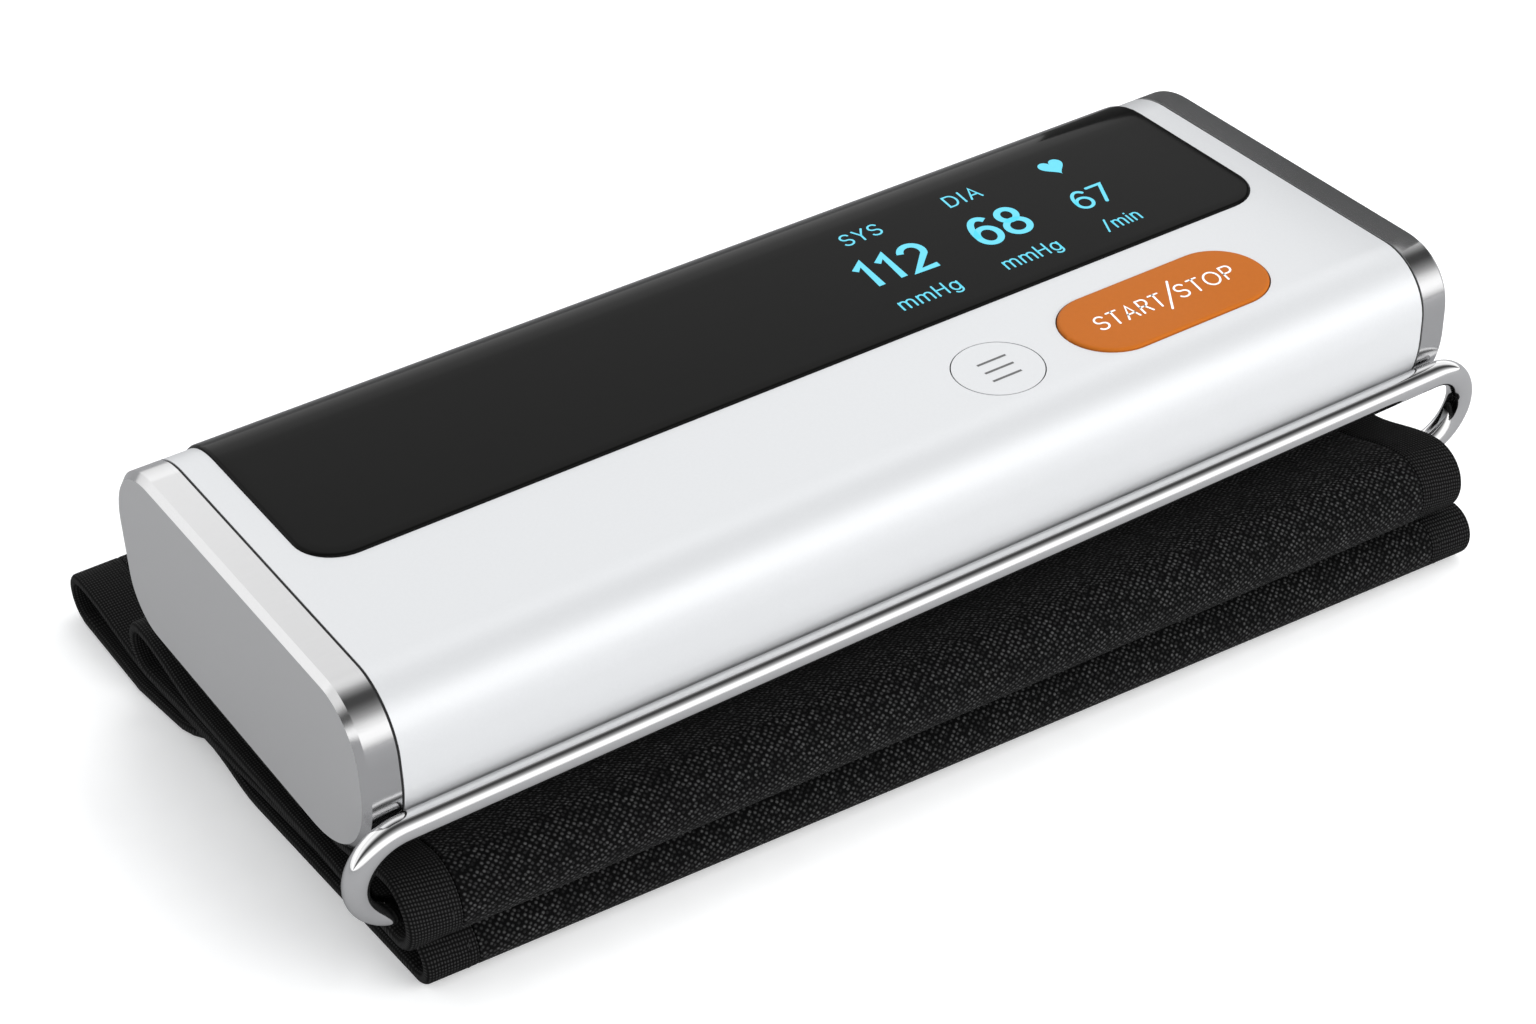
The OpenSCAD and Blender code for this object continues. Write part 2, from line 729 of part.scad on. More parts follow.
module exhaust_valve() color("goldenrod") translate([air_x, valve_y, body_z]) {
    translate([-valve_w / 2, -valve_w / 2, seat_z]) cube([valve_w, valve_w, air_z - seat_z + 3]);
    translate([0, 0.1 - valve_w / 2, air_z]) rotate([0, 0, -90]) barb_stub();
    translate([0, 0, air_z + 2.9]) cylinder(d = 4, h = 1.6);
}

module pressure_sensor() color("darkslategray") {
    translate([sensor_x, air_y - sensor_w / 2, body_z + sensor_z])
        cube([sensor_w, sensor_w, sensor_h]);
    translate([sensor_x - barb_l, air_y, body_z + sensor_port_z]) barb_stub();
}

// ---- the cuff's hold on the housing ----

nipple_top = seat_z + 3.2;
seal_z = nipple_top - 1.4;
tab_t = 0.45;
flange_t = 1;
flange_r = nipple_r + 2.5;
panel_low = -fit - strip_t;
tab_low = panel_low - fit - tab_t;

module cuff_nipple() color("black") translate([air_x, air_y, body_z]) {
    difference() {
        union() {
            translate([0, 0, tab_low - fit - flange_t]) cylinder(r = flange_r, h = flange_t);
            translate([0, 0, tab_low - fit - 0.1])
                cylinder(r = nipple_r, h = nipple_top - tab_low + fit + 0.1);
        }
        translate([0, 0, tab_low - 2]) cylinder(r = 1.2, h = nipple_top - tab_low + 4);
        translate([0, 0, seal_z - 0.5]) difference() {
            cylinder(r = nipple_r + 1, h = 1);
            translate([0, 0, -eps]) cylinder(r = nipple_r - 0.6, h = 2);
        }
    }
}

module nipple_seal() color("dimgray") translate([air_x, air_y, body_z + seal_z])
    rotate_extrude() translate([nipple_r - 0.25, 0]) circle(r = 0.33, $fn = 24);

module clamp_plate() color("lightgray") {
    front = strip_end_y + 3;
    back = strip_end_y + anchor_d - 3;
    half = boss_x + 4;
    low = panel_low - fit - clamp_t;
    translate([0, 0, body_z + low]) difference() {
        translate([-half, front, 0]) cube([2 * half, back - front, clamp_t]);
        for (x = [-boss_x, boss_x], y = boss_ys)
            translate([x, y, -eps]) cylinder(r = screw_r + fit, h = clamp_t + 2 * eps);
        translate([air_x, air_y, -eps]) cylinder(r = flange_r + 0.5, h = clamp_t + 2 * eps);
        translate([air_x - 6.5, front - eps, -eps])
            cube([13, air_y - front + eps + 5.2, clamp_t + 2 * eps]);
    }
}

module clamp_screws() color("silver") {
    plate_low = panel_low - fit - clamp_t;
    for (x = [-boss_x, boss_x], y = boss_ys)
        translate([x, y, body_z + plate_low - fit]) {
            translate([0, 0, -screw_head_h]) cylinder(r = screw_head_r, h = screw_head_h);
            translate([0, 0, -0.1])
                cylinder(r = screw_r, h = wall + boss_h - 0.5 - plate_low + fit);
        }
}

// ---- the cuff ----

hem_u = hem_w / strip_w;
mid_t = 0.2;

module cuff_anchor_panel() color("black") translate([anchor_shift, 0, body_z + panel_low])
    difference() {
        translate([-strip_w / 2, strip_end_y + fit, 0]) cube([strip_w, anchor_d, strip_t]);
        for (x = [-boss_x, boss_x], y = boss_ys)
            translate([x - anchor_shift, y, -eps]) cylinder(r = screw_r + 0.3, h = 3);
        translate([air_x - anchor_shift, air_y, -eps]) cylinder(r = nipple_r + 0.2, h = 3);
        translate([air_x - anchor_shift - 6.2, strip_end_y - eps, -eps]) cube([12.4, 2, 3]);
    }

module cuff_fabric() color("black") sheet(hem_u, 1 - hem_u, mid_t + fit, half_t);
module cuff_lining() color("black") sheet(hem_u, 1 - hem_u, -half_t, -mid_t - fit);
module left_hem() color("black") sheet(0, hem_u, -half_t, half_t);
module right_hem() color("black") sheet(1 - hem_u, 1, -half_t, half_t);

module cuff_bladder() color("darkslategray") {
    start = 2 + fold_steps + 1 + run_steps;
    sheet(1.4 * hem_u, 1 - 1.4 * hem_u, -mid_t, mid_t, start);
    translate([air_x, 0, body_z]) difference() {
        union() {
            translate([-5.5, strip_end_y - 0.1, -fit - half_t - mid_t])
                cube([11, 0.3, 2 * mid_t]);
            translate([-5.5, strip_end_y + fit, tab_low])
                cube([11, 0.5, -fit - half_t + mid_t - tab_low]);
            translate([-5.5, strip_end_y + 0.05, tab_low])
                cube([11, air_y - strip_end_y + 4.5, tab_t]);
        }
        translate([0, air_y, tab_low - eps]) cylinder(r = nipple_r + 0.1, h = 2);
    }
}

module hook_patch() color("dimgray")
    translate([back_shift - strip_w / 2 + 16, free_end_y + 2, strip_t + fit])
        cube([strip_w - 32, patch_l, patch_t]);

// ---- the wire ring and the sleeve that holds it ----

module wire_ring() color("silver") {
    end_r = ring_h / 2;
    straight = ring_l - ring_h;
    translate([ring_shift, axis_y, axis_z]) rotate([ring_lean, 0, 0]) {
        for (z = [0, ring_h]) translate([-straight / 2, 0, z])
            rotate([0, 90, 0]) cylinder(r = wire_r, h = straight, $fn = 48);
        for (s = [0, 1]) mirror([s, 0, 0]) translate([straight / 2, 0, end_r])
            rotate([90, 0, 0]) rotate([0, 0, -90])
                rotate_extrude(angle = 180, $fn = 48) translate([end_r, 0]) circle(r = wire_r, $fn = 48);
    }
}

module ring_sleeve() color("black") {
    half = strip_w / 2 - hem_w + 2;
    out_r = wire_r + wire_clear + sleeve_t;
    tail_z = upper_sag_z + half_t + 0.1;
    bend_y = axis_y + 7.8;
    along_x(-half, 2 * half) difference() {
        union() {
            translate([axis_y, axis_z]) circle(r = out_r);
            polygon([
                [axis_y, axis_z - out_r], [bend_y, tail_z], [bend_y + 7.5, tail_z],
                [bend_y + 7.5, tail_z + sleeve_t], [bend_y, tail_z + sleeve_t],
                [axis_y + 1, axis_z - out_r + 1]
            ]);
        }
        translate([axis_y, axis_z]) circle(r = wire_r + wire_clear);
    }
}

housing_shell();
left_end_cap();
right_end_cap();
left_gasket();
right_gasket();
display_window();
display_module();
display_flex();
start_button();
memory_button();
start_switch();
memory_switch();
main_board();
board_screws();
charge_port();
battery_cell();
inner_chassis();
pump_cradle();
pump_motor();
pump_head();
pump_tube();
air_manifold();
valve_tube();
exhaust_valve();
sensor_tube();
pressure_sensor();
cuff_nipple();
nipple_seal();
clamp_plate();
clamp_screws();
cuff_anchor_panel();
cuff_fabric();
cuff_lining();
cuff_bladder();
left_hem();
right_hem();
hook_patch();
wire_ring();
ring_sleeve();
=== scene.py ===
import json
import math

import bmesh
import bpy
import numpy as np
from mathutils import Matrix, Vector


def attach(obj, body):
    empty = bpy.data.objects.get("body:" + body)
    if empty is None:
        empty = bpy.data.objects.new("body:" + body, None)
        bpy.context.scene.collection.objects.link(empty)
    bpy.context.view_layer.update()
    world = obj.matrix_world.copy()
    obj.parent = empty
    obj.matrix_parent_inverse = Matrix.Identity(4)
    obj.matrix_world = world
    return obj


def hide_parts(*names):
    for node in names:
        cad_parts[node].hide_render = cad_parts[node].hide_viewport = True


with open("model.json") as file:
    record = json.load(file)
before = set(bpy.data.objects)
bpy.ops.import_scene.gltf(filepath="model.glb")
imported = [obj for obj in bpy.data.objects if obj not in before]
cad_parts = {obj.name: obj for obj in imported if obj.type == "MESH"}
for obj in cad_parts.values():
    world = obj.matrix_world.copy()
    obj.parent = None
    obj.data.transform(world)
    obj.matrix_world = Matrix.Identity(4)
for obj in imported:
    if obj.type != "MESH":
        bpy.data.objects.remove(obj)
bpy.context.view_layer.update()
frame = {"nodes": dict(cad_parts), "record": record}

scene = bpy.context.scene
scene.view_settings.view_transform = "Standard"
nodes = frame["nodes"]
mm = 0.001
baseZ = 13.8  # underside of the housing above the floor, in mm


# the camera, solved from the photograph's edges, in metres
camera = {"right": (0.83204, -0.55404, -0.02729), "up": (0.34522, 0.47869, 0.80727),
          "back": (-0.43420, -0.68110, 0.58955), "place": (-0.16057, -0.24404, 0.22798),
          "sensor": 36.0, "lens": 74.625, "near": 0.02, "far": 20.0}


def makeCamera():
    v = camera
    data = bpy.data.cameras.new("view")
    data.sensor_fit = "HORIZONTAL"
    data.sensor_width = v["sensor"]
    data.lens = v["lens"]
    data.clip_start = v["near"]
    data.clip_end = v["far"]
    cam = bpy.data.objects.new("view", data)
    scene.collection.objects.link(cam)
    turn = Matrix((v["right"], v["up"], v["back"])).transposed().to_4x4()
    cam.matrix_world = Matrix.Translation(v["place"]) @ turn
    scene.camera = cam


makeCamera()
print("camera")


# makes a node: values are set on its inputs, links come into them, settings are its own
def addNode(tree, kind, values=None, links=None, **settings):
    made = tree.nodes.new(kind)
    for key, value in settings.items():
        setattr(made, key, value)
    for key, value in (values or {}).items():
        made.inputs[key].default_value = value
    for key, source in (links or {}).items():
        tree.links.new(source, made.inputs[key])
    return made


def startMaterial(name, color, metallic=0.0, roughness=0.5):
    mat = bpy.data.materials.new(name)
    mat.use_nodes = True
    tree = mat.node_tree
    surface = tree.nodes["Principled BSDF"]
    surface.inputs["Base Color"].default_value = (*color, 1.0)
    surface.inputs["Metallic"].default_value = metallic
    surface.inputs["Roughness"].default_value = roughness
    place = tree.nodes.new("ShaderNodeTexCoord")
    return mat, tree, surface, place


# base colour between low and high, by a factor from 0 to 1
def blendColor(tree, surface, low, high, factor):
    blend = addNode(
        tree, "ShaderNodeMix", {6: (*low, 1.0), 7: (*high, 1.0)}, {0: factor}, data_type="RGBA"
    )
    tree.links.new(blend.outputs[2], surface.inputs["Base Color"])


def multiply(tree, first, second):
    return addNode(
        tree, "ShaderNodeMath", None, {0: first, 1: second}, operation="MULTIPLY"
    ).outputs[0]


def addBump(tree, surface, height, strength, distance):
    bump = addNode(
        tree, "ShaderNodeBump", {"Strength": strength, "Distance": distance}, {"Height": height}
    )
    tree.links.new(bump.outputs["Normal"], surface.inputs["Normal"])


# a finish with a fine grain: noise moves colour and roughness a little and
# raises the surface by a few hundredths of a millimetre
def grainMaterial(
    name, color, metallic, roughness, grain=1500.0, stretch=(1, 1, 1), vary=0.04, bump=0.05,
    rough=0.06, specular=0.5,
):
    mat, tree, surface, place = startMaterial(name, color, metallic, roughness)
    surface.inputs["Specular IOR Level"].default_value = specular
    turned = addNode(
        tree, "ShaderNodeMapping", {"Scale": stretch}, {"Vector": place.outputs["Object"]}
    )
    noise = addNode(
        tree, "ShaderNodeTexNoise", {"Scale": grain, "Detail": 3.0},
        {"Vector": turned.outputs["Vector"]},
    )
    broad = addNode(
        tree, "ShaderNodeTexNoise", {"Scale": 35.0, "Detail": 2.0},
        {"Vector": place.outputs["Object"]},
    )
    low = [c * (1 - vary) for c in color]
    high = [min(1.0, c * (1 + vary)) for c in color]
    blendColor(tree, surface, low, high, noise.outputs["Fac"])
    spread = addNode(
        tree, "ShaderNodeMapRange",
        {"From Min": 0.3, "From Max": 0.7, "To Min": roughness - rough,
         "To Max": roughness + rough},
        {"Value": broad.outputs["Fac"]},
    )
    tree.links.new(spread.outputs["Result"], surface.inputs["Roughness"])
    if bump:
        addBump(tree, surface, noise.outputs["Fac"], bump, 0.00005)
    return mat


metal = {
    "sleeve": (0.600, 0.607, 0.617),
    "rim": (0.66, 0.66, 0.665),
    # the caps' end faces: satin metal, with a base colour darker than the rim's that is painted
    # shade
    "face": (0.47, 0.47, 0.475),
    "chrome": (0.82, 0.82, 0.825),
}
finishes = {
    "sleeve_metal": grainMaterial("satinSleeve", metal["sleeve"], 0.22, 0.36, 2600, vary=0.02,
                                  rough=0.02),
    "cap_metal": grainMaterial("polishedRim", metal["rim"], 1.0, 0.16, 900, (1, 6, 6), 0.03, 0.02,
                               0.02),
    "button_silver": grainMaterial("satinButton", metal["sleeve"], 0.22, 0.36, 2600, vary=0.02,
                                   rough=0.02),
    "gasket_rubber": grainMaterial("gasketRubber", (0.012, 0.012, 0.012), 0.0, 0.7),
    "panel_glass": grainMaterial("blackGlass", (0.004, 0.004, 0.0038), 0.0, 0.12, 400, vary=0.1,
                                 bump=0.0, rough=0.02, specular=0.06),
    "display_black": grainMaterial("displayBlack", (0.01, 0.012, 0.015), 0.0, 0.2),
    "flex_film": grainMaterial("flexFilm", (0.5, 0.22, 0.06), 0.0, 0.35),
    "button_orange": grainMaterial("satinOrange", (0.425, 0.112, 0.009), 0.0, 0.5, 2200, vary=0.05,
                                   specular=0.12),
    "switch_black": grainMaterial("switchBlack", (0.02, 0.02, 0.02), 0.0, 0.45),
    "board_green": grainMaterial("boardGreen", (0.01, 0.12, 0.05), 0.0, 0.35, 300, vary=0.3),
    "steel": grainMaterial("platedSteel", (0.62, 0.62, 0.61), 1.0, 0.3, 1200, (1, 8, 1)),
    "battery_film": grainMaterial("batteryFoil", (0.45, 0.48, 0.52), 0.9, 0.35, 250, vary=0.12),
    "chassis_plastic": grainMaterial("chassisPlastic", (0.62, 0.62, 0.59), 0.0, 0.5),
    "pump_black": grainMaterial("pumpBlack", (0.025, 0.025, 0.025), 0.0, 0.45),
    "damper_rubber": grainMaterial("damperRubber", (0.03, 0.03, 0.03), 0.0, 0.8),
    "tube_silicone": grainMaterial("tubeSilicone", (0.62, 0.62, 0.58), 0.0, 0.35),
    "valve_plastic": grainMaterial("valvePlastic", (0.55, 0.42, 0.16), 0.0, 0.45),
    "bladder_film": grainMaterial("bladderFilm", (0.02, 0.02, 0.022), 0.0, 0.4, 500),
    "ring_chrome": grainMaterial("ringChrome", metal["chrome"], 1.0, 0.07, 700, (1, 5, 5), 0.02,
                                 0.02, 0.02),
}
# the caps' end faces: a real satin finish, rougher than the rim, and a darker base colour that is
# painted shade of faces turned from the light
capFacePaintedShade = grainMaterial("satinCapFacePaintedShade", metal["face"], 0.5, 0.42, 2600, vary=0.02, rough=0.02)


# cloth patterns follow the strip in millimetres, from the UV map. Here they are
# dots of yarn on a slightly uneven slanted grid, each lighter or darker
def weaveMaterial(name, dark, light, pitch, uneven, stretch, strength, turn=math.pi / 4):
    mat, tree, surface, place = startMaterial(name, dark, 0.0, 0.85)
    laid = addNode(
        tree, "ShaderNodeMapping",
        {"Scale": (stretch / pitch, 1 / pitch, 1), "Rotation": (0, 0, turn)},
        {"Vector": place.outputs["UV"]},
    )
    yarn = addNode(
        tree, "ShaderNodeTexVoronoi", {"Scale": 1.0, "Randomness": uneven},
        {"Vector": laid.outputs["Vector"]}, voronoi_dimensions="2D",
    )
    top = addNode(
        tree, "ShaderNodeMapRange",
        {"From Min": 0.46, "From Max": 0.1, "To Min": 0.0, "To Max": 1.0},
        {"Value": yarn.outputs["Distance"]}, interpolation_type="SMOOTHSTEP",
    )
    patch = addNode(
        tree, "ShaderNodeTexNoise", {"Scale": 0.35, "Detail": 4.0, "Roughness": 0.7},
        {"Vector": place.outputs["UV"]},
    )
    split = addNode(tree, "ShaderNodeSeparateColor", None, {"Color": yarn.outputs["Color"]})
    each = addNode(
        tree, "ShaderNodeMapRange", {"To Min": 0.12, "To Max": 1.0},
        {"Value": split.outputs["Red"]},
    )
    shade = multiply(tree, top.outputs["Result"], each.outputs["Result"])
    spread = addNode(
        tree, "ShaderNodeMapRange",
        {"From Min": 0.3, "From Max": 0.7, "To Min": 0.5, "To Max": 1.15},
        {"Value": patch.outputs["Fac"]},
    )
    worn = multiply(tree, shade, spread.outputs["Result"])
    blendColor(tree, surface, dark, light, worn)
    surface.inputs["Specular IOR Level"].default_value = 0.08
    surface.inputs["Sheen Weight"].default_value = 0.02
    surface.inputs["Sheen Roughness"].default_value = 0.5
    addBump(tree, surface, top.outputs["Result"], strength, 0.00012)
    return mat


# rows of fine ribs across the tape, crossed by small picks
def bindingMaterial(name, dark, light, ribPitch, pickPitch):
    mat, tree, surface, place = startMaterial(name, dark, 0.0, 0.8)
    split = addNode(tree, "ShaderNodeSeparateXYZ", None, {"Vector": place.outputs["UV"]})
    wobble = addNode(
        tree, "ShaderNodeTexNoise", {"Scale": 0.9, "Detail": 2.0}, {"Vector": place.outputs["UV"]}
    )

    # half a sine from 0 to 1 over each pitch, moved about by the wobble
    def wave(source, pitch, shift):
        scaled = addNode(tree, "ShaderNodeMath", {1: 2 * math.pi / pitch}, {0: source},
                         operation="MULTIPLY")
        moved = addNode(tree, "ShaderNodeMath", {1: shift},
                        {0: wobble.outputs["Fac"], 2: scaled.outputs[0]},
                        operation="MULTIPLY_ADD")
        sine = addNode(tree, "ShaderNodeMath", None, {0: moved.outputs[0]}, operation="SINE")
        half = addNode(tree, "ShaderNodeMath", {1: 0.5, 2: 0.5}, {0: sine.outputs[0]},
                       operation="MULTIPLY_ADD")
        return half.outputs[0]

    rib = wave(split.outputs["Y"], ribPitch, 4.0)
    pick = wave(split.outputs["X"], pickPitch, 2.0)
    height = addNode(
        tree, "ShaderNodeMapRange", {"From Min": 0.05, "From Max": 0.85},
        {"Value": multiply(tree, rib, pick)},
    )
    blendColor(tree, surface, dark, light, height.outputs["Result"])
    surface.inputs["Specular IOR Level"].default_value = 0.1
    addBump(tree, surface, height.outputs["Result"], 0.5, 0.00008)
    return mat


finishes["cuff_cloth"] = weaveMaterial(
    "loopCloth", (0.0012, 0.0012, 0.0013), (0.062, 0.062, 0.062), 0.44, 0.42, 0.8, 1.0
)
finishes["hook_cloth"] = weaveMaterial(
    "hookCloth", (0.006, 0.006, 0.006), (0.05, 0.05, 0.05), 0.9, 0.15, 1.0, 1.0, 0.0
)
finishes["binding_cloth"] = bindingMaterial(
    "bindingTape", (0.0018, 0.0018, 0.0018), (0.026, 0.026, 0.026), 0.38, 0.34
)

for part in frame["record"]["subparts"]:
    node = nodes[part["node"]]
    node.data.materials.clear()
    node.data.materials.append(finishes[part["material_slot"]])
print("materials")


# puts a mesh into the scene as one piece, on its body
def addPiece(name, mesh, body):
    mesh.update()
    piece = bpy.data.objects.new(name, mesh)
    scene.collection.objects.link(piece)
    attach(piece, body)
    return piece


# a smoothly shaded piece from points in millimetres in the row frame
def makePiece(name, points, faces, body, slotName, materials=None, index=None, uv=None):
    mesh = bpy.data.meshes.new(name)
    mesh.from_pydata((np.asarray(points) * mm).tolist(), [], [list(f) for f in faces])
    mesh.polygons.foreach_set("use_smooth", np.ones(len(mesh.polygons), bool))
    for mat in materials or [finishes[slotName]]:
        mesh.materials.append(mat)
    if index is not None:
        mesh.polygons.foreach_set("material_index", index.astype(np.int32))
    if uv is not None:
        corner = np.empty(len(mesh.loops), np.int32)
        mesh.loops.foreach_get("vertex_index", corner)
        layer = mesh.uv_layers.new(name="cloth")
        layer.data.foreach_set("uv", uv[corner].astype(np.float32).ravel())
    return addPiece(name, mesh, body)


# four-cornered faces of a grid of rows and columns, either of which may close
def gridFaces(rows, columns, closeRows=False, closeColumns=False, first=0):
    r = np.arange(rows if closeRows else rows - 1)[:, None]
    c = np.arange(columns if closeColumns else columns - 1)[None, :]
    a = r * columns + c
    b = r * columns + (c + 1) % columns
    d = ((r + 1) % rows) * columns + c
    e = ((r + 1) % rows) * columns + (c + 1) % columns
    return (np.stack([a, b, e, d], -1).reshape(-1, 4)) + first


# the housing's section: each corner's centre in depth and height and the way it
# faces, the depth past which a flat side is upright, and its middle height
section = {
    "corners": [(17.9, 12.9, 1, 1), (-21.5, 16.5, -1, 1), (-14.5, 14.0, -1, -1),
                (22.5, 6.0, 1, -1)],
    "sideY": 28.3, "middleZ": 11.75,
}


# inside a corner's quarter the normal runs from the corner's centre to the
# point, and elsewhere it is that of the nearest flat side
def sectionNormal(y, z):
    upright = np.abs(y) > section["sideY"]
    ny = np.where(upright, np.sign(y), 0.0)
    nz = np.where(upright, 0.0, np.where(z > section["middleZ"], 1.0, -1.0))
    for cy, cz, sy, sz in section["corners"]:
        dy, dz = y - cy, z - cz
        inside = (dy * sy > 1e-4) & (dz * sz > 1e-4)
        size = np.maximum(np.hypot(dy, dz), 1e-6)
        ny = np.where(inside, dy / size, ny)
        nz = np.where(inside, dz / size, nz)
    return ny, nz


# a merged and smoothly shaded copy of a CAD node's mesh, and the place of each
# of its face corners in millimetres
def mergedCopy(node, name, materials):
    work = bmesh.new()
    work.from_mesh(nodes[node].data)
    bmesh.ops.remove_doubles(work, verts=work.verts, dist=2e-6)
    mesh = bpy.data.meshes.new(name)
    work.to_mesh(mesh)
    work.free()
    mesh.materials.clear()
    for mat in materials:
        mesh.materials.append(mat)
    mesh.polygons.foreach_set("use_smooth", np.ones(len(mesh.polygons), bool))
    corner = np.empty(len(mesh.loops), np.int32)
    mesh.loops.foreach_get("vertex_index", corner)
    co = np.empty(len(mesh.vertices) * 3)
    mesh.vertices.foreach_get("co", co)
    return mesh, co.reshape(-1, 3)[corner] / mm


# a copy of a CAD node whose corner normals come from the section's formula, so
# that the rounds shine smoothly. A chamfer's normal is half way to the side. A
# corner keeps its face's own normal where the two are not close.
def smoothCopy(node, name, body, slotName, materials=None, faceRule=None):
    mesh, at = mergedCopy(node, name, materials or [finishes[slotName]])
    flat = np.empty(len(mesh.polygons) * 3)
    mesh.polygons.foreach_get("normal", flat)
    flat = flat.reshape(-1, 3)
    size = np.empty(len(mesh.polygons), np.int32)
    mesh.polygons.foreach_get("loop_total", size)
    own = np.repeat(flat, size, axis=0)
    ny, nz = sectionNormal(at[:, 1], at[:, 2] - baseZ)
    side = np.stack([np.zeros(len(at)), ny, nz], -1)
    slant = (side + np.sign(own[:, :1]) * np.array([1.0, 0, 0])) * math.sqrt(0.5)
    wanted = np.where(np.abs(own[:, :1]) > 0.3, slant, side)
    close = (own * wanted).sum(1) > 0.97
    normal = np.where(close[:, None], wanted, own)
    if faceRule is not None:
        mesh.polygons.foreach_set("material_index", faceRule(flat).astype(np.int32))
    mesh.normals_split_custom_set(normal.tolist())
    piece = addPiece(name, mesh, body)
    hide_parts(node)


smoothCopy("housing_shell", "housingSleeve", "base", "sleeve_metal")
# each cap's end faces, picked by their normals, get the satin finish with painted shade
for node, name in (("left_end_cap", "leftEndCap"), ("right_end_cap", "rightEndCap")):
    smoothCopy(
        node, name, "base", "cap_metal", [finishes["cap_metal"], capFacePaintedShade],
        lambda normal: np.abs(normal[:, 0]) > 0.9,
    )
print("housing and caps")


# one ring of a plate: a rectangle from s0 to s1 with round corners, every side
# inset by d. straight and bend are the points of a side and of half a corner
def roundRing(halfX, s0, s1, frontR, backR, d, straight, bend):
    turn = np.linspace(0, math.pi / 4, bend + 1)
    hx, a, b = halfX - d, s0 + d, s1 - d
    rf, rb = max(frontR - d, 0.01), max(backR - d, 0.01)
    xf = np.linspace(-(hx - rf), hx - rf, straight)
    xb = np.linspace(hx - rb, -(hx - rb), straight)
    sr = np.linspace(a + rf, b - rb, straight // 3)
    front = np.concatenate([
        np.stack([-(hx - rf) - rf * np.sin(turn[:0:-1]), a + rf - rf * np.cos(turn[:0:-1])], -1),
        np.stack([xf, np.full(straight, a)], -1),
        np.stack([hx - rf + rf * np.sin(turn[1:]), a + rf - rf * np.cos(turn[1:])], -1),
    ])
    right = np.concatenate([
        np.stack([hx - rf + rf * np.cos(turn[:0:-1]), a + rf - rf * np.sin(turn[:0:-1])], -1),
        np.stack([np.full(len(sr), hx), sr], -1),
        np.stack([hx - rb + rb * np.cos(turn[1:]), b - rb + rb * np.sin(turn[1:])], -1),
    ])
    back = np.concatenate([
        np.stack([hx - rb + rb * np.sin(turn[:0:-1]), b - rb + rb * np.cos(turn[:0:-1])], -1),
        np.stack([xb, np.full(straight, b)], -1),
        np.stack([-(hx - rb) - rb * np.sin(turn[1:]), b - rb + rb * np.cos(turn[1:])], -1),
    ])
    left = right[::-1] * np.array([-1.0, 1.0])
    return front, right, back, left


# fills a ring with a patch whose points are blended from its four sides
def fillRing(front, right, back, left):
    u = np.linspace(0, 1, len(front))[None, :, None]
    v = np.linspace(0, 1, len(right))[:, None, None]
    f, b = front[None], back[::-1][None]
    l, r = left[::-1][:, None], right[:, None]
    flat = (1 - v) * ((1 - u) * front[0] + u * front[-1]) + v * (
        (1 - u) * back[-1] + u * back[0]
    )
    return (1 - v) * f + v * b + (1 - u) * l + u * r - flat


# the plate: bottom patch, rings of (inset, height), top patch; lay() puts a
# flat place and a height on the piece's own surface
def makePlate(name, outline, rings, lay, body, slotName, straight=45, bend=8, mapped=False):
    points, faces, flats, start = [], [], [], 0
    loops = []
    for k, (d, h) in enumerate(rings):
        sides = roundRing(*outline, d, straight, bend)
        loop = np.concatenate([s[:-1] for s in sides])
        if k in (0, len(rings) - 1):
            patch = fillRing(*sides)
            rows, columns = patch.shape[:2]
            number = np.arange(rows * columns).reshape(rows, columns) + start
            edge = np.concatenate(
                [number[0, :-1], number[:-1, -1], number[-1, :0:-1], number[:0:-1, 0]]
            )
            quads = gridFaces(rows, columns, first=start)
            points.append(lay(patch.reshape(-1, 2), h))
            flats.append(patch.reshape(-1, 2))
            faces.append(quads[:, ::-1] if k == 0 else quads)
            start += rows * columns
        else:
            edge = np.arange(len(loop)) + start
            points.append(lay(loop, h))
            flats.append(loop)
            start += len(loop)
        loops.append(edge)
    for low, high in zip(loops[:-1], loops[1:]):
        faces.append(np.stack([low, np.roll(low, -1), np.roll(high, -1), high], -1))
    return makePiece(name, np.concatenate(points), np.concatenate(faces), body, slotName,
                     uv=np.concatenate(flats) if mapped else None)


# lays a plate level, with its flat origin at x, y and its bottom at z
def layFlat(x, y, z):
    return lambda flat, h: np.stack(
        [flat[:, 0] + x, flat[:, 1] + y, np.full(len(flat), z + h)], -1
    )


# the glass: flat over the top, then round the back edge
glass = {"half": 62.2, "front": -5.4, "bendY": 17.9, "bendZ": 12.9, "radius": 10.6,
         "endAngle": 20.0, "proud": 0.3, "thick": 1.35, "edge": 0.42}


# s runs from the front edge: straight until bendY, then an arc of the outer
# radius; h is measured inwards from the glass's outer face
def layGlass(flat, h):
    x, s = flat[:, 0], flat[:, 1]
    outer = glass["radius"] + glass["proud"]
    turn = np.maximum(s - (glass["bendY"] - glass["front"]), 0) / outer
    onTop = turn <= 0
    y = np.where(onTop, glass["front"] + s, glass["bendY"] + (outer + h) * np.sin(turn))
    z = np.where(onTop, glass["bendZ"] + outer + h, glass["bendZ"] + (outer + h) * np.cos(turn))
    return np.stack([x, y, z + baseZ], -1)


def makeGlass():
    outer = glass["radius"] + glass["proud"]
    length = glass["bendY"] - glass["front"] + outer * math.radians(90 - glass["endAngle"])
    e, t = glass["edge"], glass["thick"]
    rings = [
        (0.05, -t), (0.0, -t + 0.1), (0.0, -e), (0.05 * e, -0.72 * e), (0.22 * e, -0.36 * e),
        (0.5 * e, -0.12 * e), (0.8 * e, -0.02 * e), (1.05 * e, 0.0), (1.6, 0.0),
    ]
    piece = makePlate(
        "glassPanel", (glass["half"], 0.0, length, 5.0, 3.0), rings, layGlass, "base",
        "panel_glass", straight=60,
    )
    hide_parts("display_window")


makeGlass()

